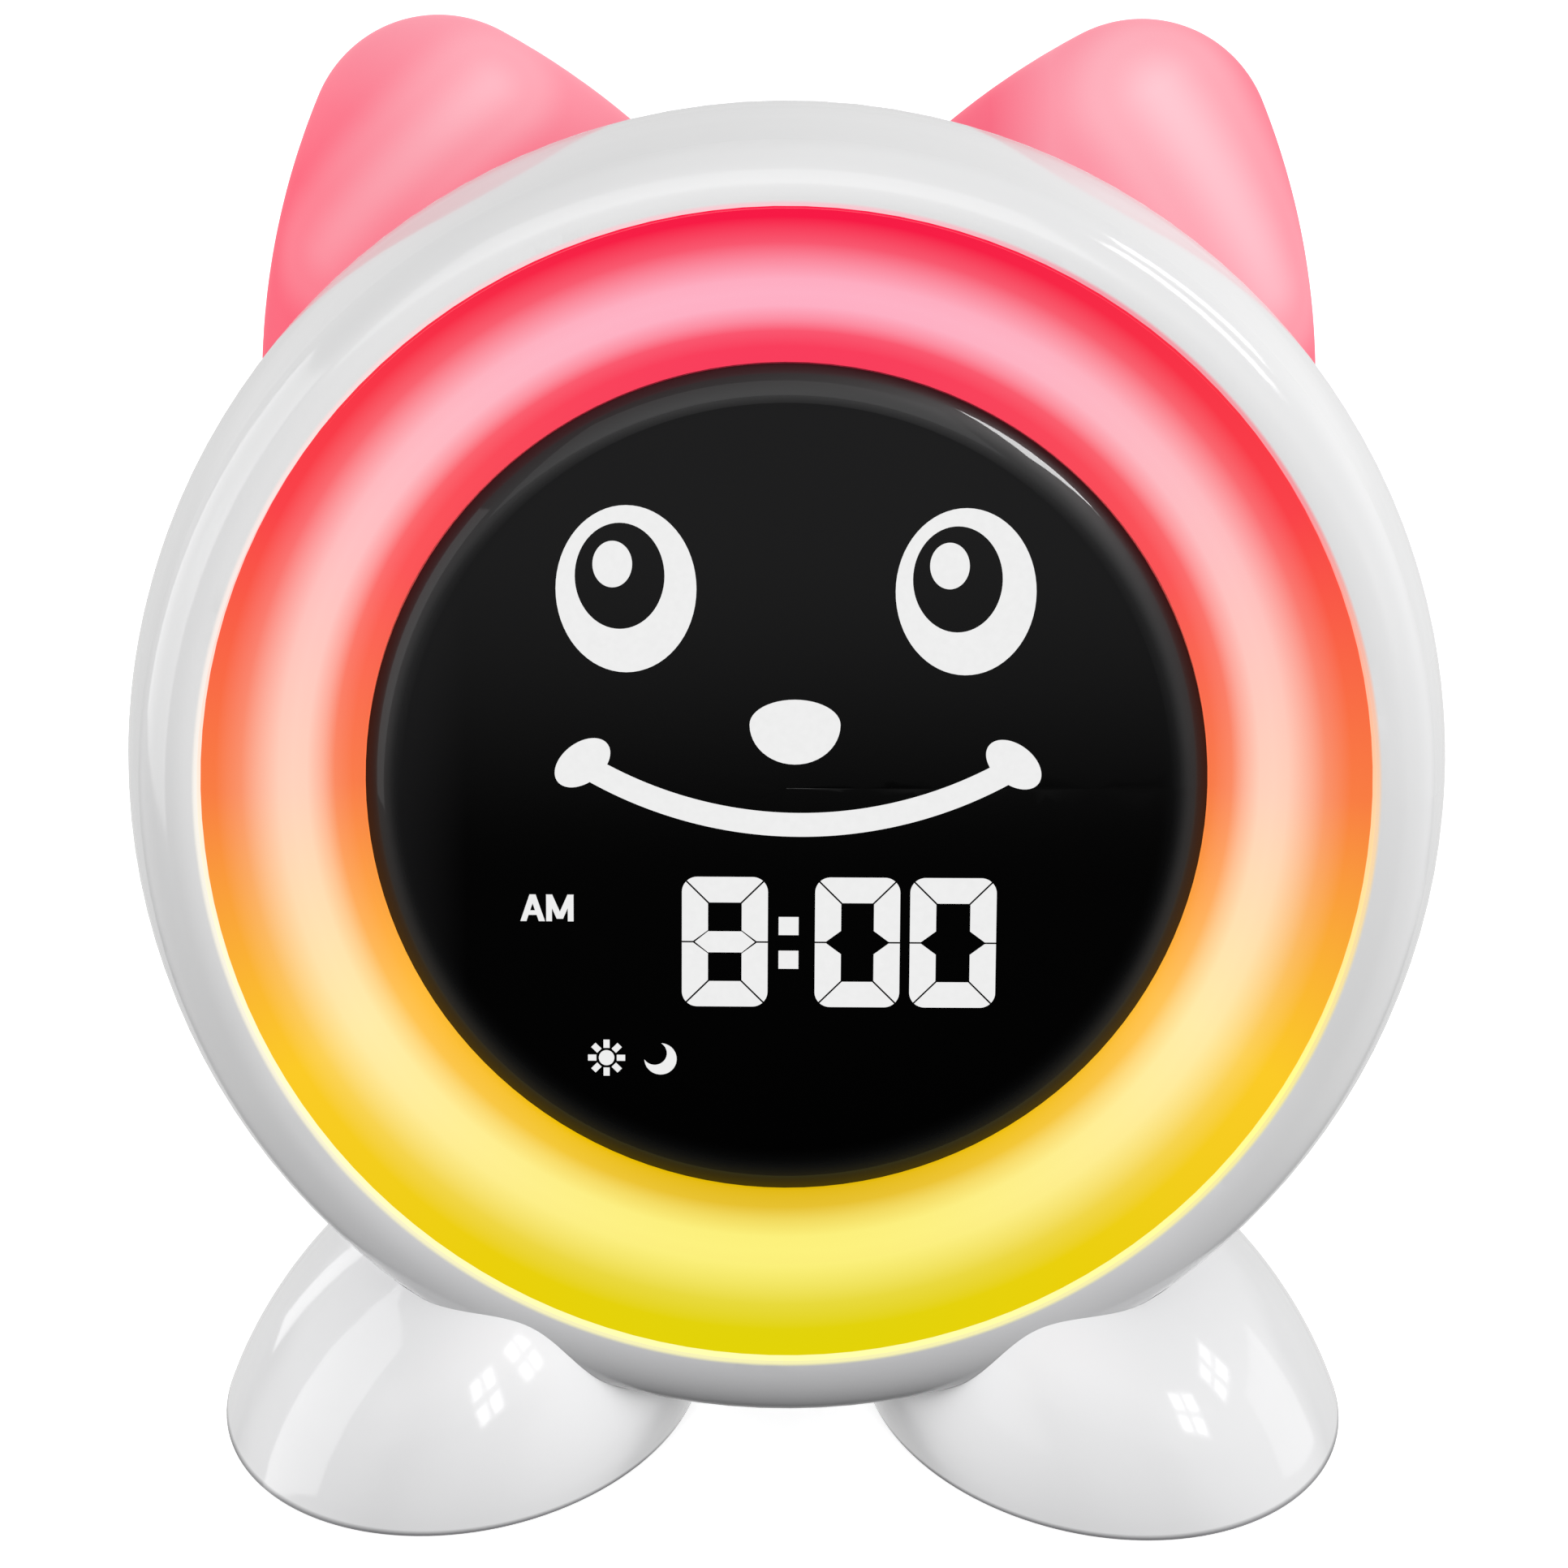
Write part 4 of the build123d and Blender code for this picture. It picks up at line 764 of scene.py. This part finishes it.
def plate(name, solids, holes=()):
    """A thin plate on the lens: the union of some outlines less some holes."""
    points = []
    loops = []
    for loop in [*solids, *holes]:
        loops.append(list(range(len(points), len(points) + len(loop))))
        points += [Vector(point) for point in loop]
    flat, _, faces, *_ = delaunay_2d_cdt(points, [], loops, 1, SAME_POINT)
    kept = []
    for face in faces:
        middle = sum((flat[i] for i in face), Vector((0, 0))) / len(face)
        if in_any(middle, solids) and not in_any(middle, holes):
            kept.append(list(face))
    rim = {}
    for face in kept:
        for start, end in zip(face, face[1:] + face[:1]):
            if (end, start) in rim:
                del rim[(end, start)]
            else:
                rim[(start, end)] = True
    used = sorted({i for face in kept for i in face})
    index = {old: new for new, old in enumerate(used)}
    count = len(used)
    vertices = [on_lens(*flat[i], ART_PROUD) for i in used]
    vertices += [on_lens(*flat[i], -ART_SUNK) for i in used]
    sheets = [[index[i] for i in face] for face in kept]
    sheets += [[index[i] + count for i in reversed(face)] for face in kept]
    for start, end in rim:
        first, second = index[start], index[end]
        sheets.append([second, first, first + count, second + count])
    mesh = bpy.data.meshes.new(name)
    mesh.from_pydata(vertices, [], sheets)
    mesh.validate()
    piece = add_object(name, mesh)
    dress(piece, finishes["icon_white"])
    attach(piece, "case")


def arc(middle, radii, start, end, steps=24):
    """Points along part of an ellipse, with angles in degrees."""
    turns = [radians(start + (end - start) * step / steps) for step in range(steps + 1)]
    return [(middle[0] + radii[0] * cos(turn), middle[1] + radii[1] * sin(turn)) for turn in turns]


def oval(middle, radii, turn=0.0, steps=64):
    """A whole ellipse, turned about its middle."""
    lean = radians(turn)
    points = []
    for step in range(steps):
        angle = 2 * pi * step / steps
        x, y = radii[0] * cos(angle), radii[1] * sin(angle)
        across = middle[0] + x * cos(lean) - y * sin(lean)
        up = middle[1] + x * sin(lean) + y * cos(lean)
        points.append((across, up))
    return points


def box_loop(low, high):
    """A rectangle between two corners."""
    return [low, (high[0], low[1]), high, (low[0], high[1])]


# Eyes: an upright white oval, a dark pupil set up and inwards, and a white glint
EYE_RADII = (6.75, 8.1)
PUPIL_RADII = (4.3, 5.15)
GLINT_RADII = (1.9, 2.25)
for name, white, pupil, glint in (
    ("eye_left", (-15.49, 19.2), (-16.1, 20.46), (-16.8, 21.6)),
    ("eye_right", (17.08, 19.1), (16.28, 20.3), (15.5, 21.6)),
):
    plate(name, [oval(white, EYE_RADII)], [oval(pupil, PUPIL_RADII)])
    plate(f"{name}_glint", [oval(glint, GLINT_RADII)])

# Nose: an egg with its widest line above its middle
NOSE = (0.78, 6.05)
NOSE_UPPER = (4.38, 2.45)
NOSE_LOWER = (4.38, 3.9)
plate("nose", [arc(NOSE, NOSE_UPPER, 0, 180)[:-1] + arc(NOSE, NOSE_LOWER, 180, 360)[:-1]])

# Mouth: a curved stroke with a slanted bulb at each end
SMILE_MIDDLE = (1.24, 36.5)
SMILE_RADIUS = 40.3
SMILE_HALF_STROKE = 1.17
SMILE_TURN = 29.5
SMILE_STEPS = 48
BULB_RADII = (3.05, 1.95)
BULBS = [((-19.7, 2.2), 38), ((21.9, 2.26), -38)]
outer, inner = SMILE_RADIUS + SMILE_HALF_STROKE, SMILE_RADIUS - SMILE_HALF_STROKE
left, right = 270 - SMILE_TURN, 270 + SMILE_TURN
smile = arc(SMILE_MIDDLE, (outer, outer), left, right, SMILE_STEPS)
smile += arc(SMILE_MIDDLE, (inner, inner), right, left, SMILE_STEPS)
plate("mouth", [smile, *(oval(middle, BULB_RADII, turn) for middle, turn in BULBS)])

# Digits: seven-segment bars with mitred gaps and rounded outer corners
DIGIT_TOP = -9.0
DIGIT_BOTTOM = -21.95
DIGIT_STROKE = 2.54
DIGIT_CORNER = 1.5
CORNER_STEPS = 6
DIGIT_GAP = 0.17
MIDDLE_HALF = 1.05
MIDDLE_TIP = 1.45


def digit(name, left, right, lit):
    """One digit from its lit segments."""
    centre = (left + right) / 2
    middle = (DIGIT_TOP + DIGIT_BOTTOM) / 2
    half_width = (right - left) / 2
    half_tall = (DIGIT_TOP - DIGIT_BOTTOM) / 2
    inner = half_width - DIGIT_STROKE
    inner_up = half_tall - DIGIT_STROKE
    mitre = DIGIT_GAP / sqrt(2)
    corner = (half_width - DIGIT_CORNER, half_tall - DIGIT_CORNER)
    radii = (DIGIT_CORNER, DIGIT_CORNER)
    split = degrees(DIGIT_GAP / 2 / DIGIT_CORNER)
    level = arc(corner, radii, 45 + split, 90, CORNER_STEPS)
    level += [(-x, y) for x, y in reversed(level)]
    level += [(-inner + mitre, inner_up), (inner - mitre, inner_up)]
    upright = arc(corner, radii, 45 - split, 0, CORNER_STEPS)
    upright += [(half_width, DIGIT_GAP / 2), (inner + MIDDLE_TIP, DIGIT_GAP / 2)]
    upright += [(inner, MIDDLE_HALF + mitre), (inner, inner_up - mitre)]
    tip = inner + MIDDLE_TIP - DIGIT_GAP
    bar = [(-tip, 0), (-inner, MIDDLE_HALF), (inner, MIDDLE_HALF)]
    bar += [(tip, 0), (inner, -MIDDLE_HALF), (-inner, -MIDDLE_HALF)]
    shapes = {
        "top": (level, 1, 1),
        "bottom": (level, 1, -1),
        "middle": (bar, 1, 1),
        "upper_right": (upright, 1, 1),
        "upper_left": (upright, -1, 1),
        "lower_right": (upright, 1, -1),
        "lower_left": (upright, -1, -1),
    }
    loops = []
    for segment in lit:
        outline, flip_across, flip_up = shapes[segment]
        loops.append([(centre + x * flip_across, middle + y * flip_up) for x, y in outline])
    plate(name, loops)


ZERO = ["top", "bottom", "upper_left", "upper_right", "lower_left", "lower_right"]
digit("digit_hours", -10.09, -1.74, [*ZERO, "middle"])
digit("digit_tens", 2.84, 11.1, ZERO)
digit("digit_units", 12.07, 20.46, ZERO)

COLON_ACROSS = 0.28
COLON_HALF = (0.97, 0.9)
for name, up in (("colon_upper", -13.86), ("colon_lower", -17.23)):
    low = (COLON_ACROSS - COLON_HALF[0], up - COLON_HALF[1])
    high = (COLON_ACROSS + COLON_HALF[0], up + COLON_HALF[1])
    plate(name, [box_loop(low, high)])

# AM mark: plain strokes
AM_LEFT = -25.78
AM_TOP = -10.87
AM_BOTTOM = -13.52
A_WIDTH = 2.36
M_WIDTH = 2.66
LETTER_GAP = 0.14
LETTER_STROKE = 0.56
A_BAR_INSET = 0.55
A_BAR_LOW = 0.62
A_BAR_TALL = 0.45
M_DIP = 0.25


def stroke(start, end):
    """A letter's bar from one level to another, cut level at both ends."""
    slope = (end[0] - start[0]) / (end[1] - start[1])
    half = LETTER_STROKE / 2 * sqrt(1 + slope**2)
    lower = [(start[0] - half, start[1]), (start[0] + half, start[1])]
    return lower + [(end[0] + half, end[1]), (end[0] - half, end[1])]


half_stroke = LETTER_STROKE / 2
a_right = AM_LEFT + A_WIDTH
a_top = (AM_LEFT + A_WIDTH / 2, AM_TOP)
a_bar = AM_BOTTOM + A_BAR_LOW
plate(
    "letter_a",
    [
        stroke((AM_LEFT + half_stroke, AM_BOTTOM), a_top),
        stroke((a_right - half_stroke, AM_BOTTOM), a_top),
        box_loop((AM_LEFT + A_BAR_INSET, a_bar), (a_right - A_BAR_INSET, a_bar + A_BAR_TALL)),
    ],
)
m_left = a_right + LETTER_GAP
m_right = m_left + M_WIDTH
m_foot = ((m_left + m_right) / 2, AM_BOTTOM + M_DIP)
plate(
    "letter_m",
    [
        box_loop((m_left, AM_BOTTOM), (m_left + LETTER_STROKE, AM_TOP)),
        box_loop((m_right - LETTER_STROKE, AM_BOTTOM), (m_right, AM_TOP)),
        stroke(m_foot, (m_left + half_stroke, AM_TOP)),
        stroke(m_foot, (m_right - half_stroke, AM_TOP)),
    ],
)

# Sun: a round core with short rays
SUN = (-17.45, -27.22)
SUN_CORE = 0.76
RAY_COUNT = 8
RAY_START = 1.0
RAY_END = 1.82
RAY_HALF = 0.3
plate("sun_core", [oval(SUN, (SUN_CORE, SUN_CORE), steps=32)])
for ray in range(RAY_COUNT):
    turn = 2 * pi / RAY_COUNT * ray
    away, side = (cos(turn), sin(turn)), (-sin(turn), cos(turn))
    loop = [
        (SUN[0] + away[0] * out + side[0] * by, SUN[1] + away[1] * out + side[1] * by)
        for out, by in box_loop((RAY_START, -RAY_HALF), (RAY_END, RAY_HALF))
    ]
    plate(f"sun_ray_{ray + 1}", [loop])

# Moon: a crescent open to the upper left
MOON = (-12.17, -27.3)
MOON_RADIUS = 1.58
MOON_BITE = (-12.75, -26.72)
MOON_BITE_RADIUS = 1.2
plate(
    "moon",
    [oval(MOON, (MOON_RADIUS, MOON_RADIUS), steps=48)],
    [oval(MOON_BITE, (MOON_BITE_RADIUS, MOON_BITE_RADIUS), steps=48)],
)

# ---------------------------------------------------------------------------
# Floor and backdrop
# ---------------------------------------------------------------------------

FLOOR_HALF = 60.0
FLOOR_GAP = 0.00005
FLOOR_DARK = (244, 244, 245)
FLOOR_LIGHT = (248, 248, 248)
FLOOR_FLOW = (4.0, 3.0)
FLOOR_ROUGHNESS = 0.9
FLOOR_GLOW = 0.8
WALL_RADIUS = 7.0
WALL_SIDES = 96

bpy.ops.mesh.primitive_plane_add(size=2 * FLOOR_HALF, location=(0, 0, cad_low.z - FLOOR_GAP))
floor = bpy.context.object
floor.name = "floor"
bpy.ops.mesh.primitive_cylinder_add(
    vertices=WALL_SIDES, radius=WALL_RADIUS, depth=WALL_RADIUS, end_fill_type="NOTHING"
)
wall = bpy.context.object
wall.name = "backdrop"
wall.visible_shadow = False

floor_material, floor_tree, floor_sockets = new_material("floor_pale")
floor_flow = noise(floor_tree, *FLOOR_FLOW)
floor_looks = {
    "Base Color": mix(floor_tree, floor_flow, srgb(*FLOOR_DARK), srgb(*FLOOR_LIGHT)),
    "Roughness": FLOOR_ROUGHNESS,
    "Specular IOR Level": 0.0,
    "Emission Color": grey(1.0),
    "Emission Strength": FLOOR_GLOW,
}
connect_all(floor_tree, floor_looks, floor_sockets)
for backing in (floor, wall):
    dress(backing, floor_material)
    backing.visible_diffuse = False
    backing.visible_glossy = False

# ---------------------------------------------------------------------------
# Sky: white all round and behind, dark below the front and where the flat lens looks back
# ---------------------------------------------------------------------------

SKY_WHITE = grey(0.88)
SKY_TOP = grey(0.55)
FLOOR_WHITE = grey(0.75)
UNDER_DARK = grey(0.02)
FRONT_DARK = grey(0.004)
FRONT_DIM = grey(0.17)
# Where the sky's parts fade into each other, as shares of the view's direction
SIDE_FADE = (0.35, 0.9)
TOP_FADE = (0.15, 0.8)
HORIZON_FADE = (-0.1, 0.05)
FRONT_RISE = (-0.07, 0.09)
FRONT_AHEAD = (-0.62, -0.975)
FRONT_BELOW = (0.5, 0.16)

world = bpy.data.worlds.new("studio")
bpy.context.scene.world = world
world.use_nodes = True
sky = world.node_tree
split = sky.nodes.new("ShaderNodeSeparateXYZ")
connect(sky, node(sky, "ShaderNodeTexCoord", {}, "Generated"), split.inputs[0])
behind = split.outputs["Y"]
above = split.outputs["Z"]
aside = calc(sky, "MAXIMUM", behind, calc(sky, "ABSOLUTE", split.outputs["X"]))
lower = mix(sky, fade(sky, aside, *SIDE_FADE), UNDER_DARK, FLOOR_WHITE)
upper = mix(sky, fade(sky, above, *TOP_FADE), SKY_WHITE, SKY_TOP)
dome = mix(sky, fade(sky, above, *HORIZON_FADE), lower, upper)
front = mix(sky, fade(sky, above, *FRONT_RISE), FRONT_DARK, FRONT_DIM)
ahead = fade(sky, behind, *FRONT_AHEAD)
front_gap = calc(sky, "MULTIPLY", ahead, fade(sky, above, *FRONT_BELOW))
background = sky.nodes["Background"].inputs
connect_all(sky, {"Color": mix(sky, front_gap, dome, front), "Strength": 1.0}, background)

# ---------------------------------------------------------------------------
# Lamps
# ---------------------------------------------------------------------------


def softbox(
    name, azimuth, elevation, distance, size, power, roll=0.0, glossy=True, diffuse=True, only=()
):
    """A rectangular lamp aimed at the head: degrees, metres, watts and the nodes that it lights."""
    turn, rise = radians(azimuth), radians(elevation)
    away = Vector((sin(turn) * cos(rise), -cos(turn) * cos(rise), sin(rise)))
    lamp = bpy.data.lights.new(name, "AREA")
    lamp.shape = "RECTANGLE"
    lamp.size, lamp.size_y = size
    lamp.energy = power
    holder = add_object(name, lamp)
    holder.location = HEAD_CENTRE + away * distance
    holder.rotation_mode = "QUATERNION"
    aim = away.to_track_quat("Z", "Y")
    holder.rotation_quaternion = aim @ Quaternion((0, 0, 1), radians(roll))
    holder.visible_glossy = glossy
    holder.visible_diffuse = diffuse
    if only:
        lit = bpy.data.collections.new(name + "_lit")
        for node_name in only:
            lit.objects.link(frame["nodes"][node_name])
        holder.light_linking.receiver_collection = lit
    return holder


BAR_LIGHT = 0.2  # share of the light that comes through a window's bars


def glaze(holder, columns, rows, bar):
    """Bars across a lamp, as in a window, each a share of a pane wide."""
    lamp = holder.data
    lamp.use_nodes = True
    tree = lamp.node_tree
    spot = tree.nodes.new("ShaderNodeSeparateXYZ")
    connect(tree, node(tree, "ShaderNodeNewGeometry", {}, "Parametric"), spot.inputs[0])
    clear = 1.0
    for axis, count in (("X", columns), ("Y", rows)):
        share = calc(tree, "FRACT", calc(tree, "MULTIPLY", spot.outputs[axis], float(count)))
        from_middle = calc(tree, "ABSOLUTE", calc(tree, "SUBTRACT", share, 0.5))
        pane = calc(tree, "LESS_THAN", from_middle, 0.5 - bar / 2)
        clear = calc(tree, "MULTIPLY", clear, pane)
    strength = calc(tree, "MULTIPLY_ADD", clear, 1 - BAR_LIGHT, BAR_LIGHT)
    connect(tree, strength, tree.nodes["Emission"].inputs["Strength"])


FEET = ["foot_left", "foot_right"]
HEAD_NODES = [name for name in frame["nodes"] if not name.startswith("foot_")]
ROOM = 1.5  # distance of most lamps

# Lamps that only light
softbox("front_fill", -8, 42, 1.6, (1.5, 0.9), 4.2, only=HEAD_NODES)
softbox("low_front", 0, 8, ROOM, (1.4, 0.4), 5.0, glossy=False, only=FEET)
softbox("low_left", -62, 15, ROOM, (0.8, 0.3), 6.5, glossy=False)
softbox("low_right", 62, 12, ROOM, (0.8, 0.3), 9.0, glossy=False)
softbox("inner_left", 66, 4, ROOM, (0.6, 0.2), 5.0, glossy=False, only=["foot_left"])
softbox("inner_right", -66, 4, ROOM, (0.6, 0.2), 5.0, glossy=False, only=["foot_right"])

# Walls that only show in the gloss
for wall_name, azimuth, elevation, distance, size, power, mirrors in (
    ("left_wall", -80, 13, ROOM, (1.87, 1.2), 11.0, HEAD_NODES),
    ("left_wall_low", -91, 6, ROOM, (0.95, 1.55), 5.0, ["foot_left"]),
    ("right_wall_low", 112, -6, ROOM, (0.7, 0.6), 0.6, ["foot_right"]),
    ("inner_wall_right", -50, -15, ROOM, (0.9, 0.9), 0.8, ["foot_right"]),
    ("left_rear", -138, 1, 1.2, (0.15, 0.5), 0.2, ["foot_left"]),
):
    softbox(wall_name, azimuth, elevation, distance, size, power, diffuse=False, only=mirrors)

# Windows on the bezel, the lens's edge and the feet
WINDOW_BARS = (1, 3, 0.1)
FOOT_WINDOW_BARS = (2, 2, 0.3)
FOOT_WINDOW_DISTANCE = 1.15
FOOT_WINDOWS = [
    ("foot_left", "near", 5.4, 7.1, (0.28, 0.74), 2.6, 32),
    ("foot_left", "far", 23.2, 19.4, (0.24, 0.80), 1.9, 36),
    ("foot_right", "near", 61.2, 9.9, (0.32, 0.33), 1.4, -13),
    ("foot_right", "far", 91.2, 14.6, (0.32, 0.25), 0.8, 15),
]
near = softbox("window_near", 70, 44, 1.2, (0.20, 0.46), 1.9, only=HEAD_NODES)
glaze(near, *WINDOW_BARS)
far = softbox("window_far", 100, 44, 1.2, (0.20, 0.42), 1.8, only=HEAD_NODES)
glaze(far, *WINDOW_BARS)
softbox("lens_window", 71.5, 45, 1.17, (0.6, 0.42), 30.0, -34, diffuse=False, only=["display_lens"])
for foot, pane, azimuth, elevation, size, power, roll in FOOT_WINDOWS:
    lamp_place = (azimuth, elevation, FOOT_WINDOW_DISTANCE)
    window = softbox(f"{foot}_{pane}", *lamp_place, size, power, roll, diffuse=False, only=[foot])
    glaze(window, *FOOT_WINDOW_BARS)

# ---------------------------------------------------------------------------
# Camera, fitted to the photo: millimetres, degrees and pixels
# ---------------------------------------------------------------------------

CAMERA_DISTANCE = 450.0
CAMERA_ELEVATION = 22.0
CAMERA_ROLL = 0.34
CAMERA_RIGHT = -0.25
CAMERA_UP = -2.25
SENSOR_WIDTH = 36.0
PHOTO_WIDTH = 1932
FOCAL_PIXELS = 5580
CLIP_START = 0.01

elevation = radians(CAMERA_ELEVATION)
camera_up = Vector((0, sin(elevation), cos(elevation)))
camera_back = Vector((0, -cos(elevation), sin(elevation)))
offset = ACROSS * CAMERA_RIGHT + camera_up * CAMERA_UP + camera_back * CAMERA_DISTANCE
spot = Matrix.Translation(HEAD_CENTRE + offset * MM)
axes = Matrix((ACROSS, camera_up, camera_back)).transposed().to_4x4()
camera = add_object("camera", bpy.data.cameras.new("camera"))
camera.matrix_world = spot @ axes @ Matrix.Rotation(radians(CAMERA_ROLL), 4, "Z")
camera.data.sensor_width = SENSOR_WIDTH
camera.data.lens = SENSOR_WIDTH * FOCAL_PIXELS / PHOTO_WIDTH
camera.data.clip_start = CLIP_START
bpy.context.scene.camera = camera
bpy.context.scene.view_settings.view_transform = "Standard"
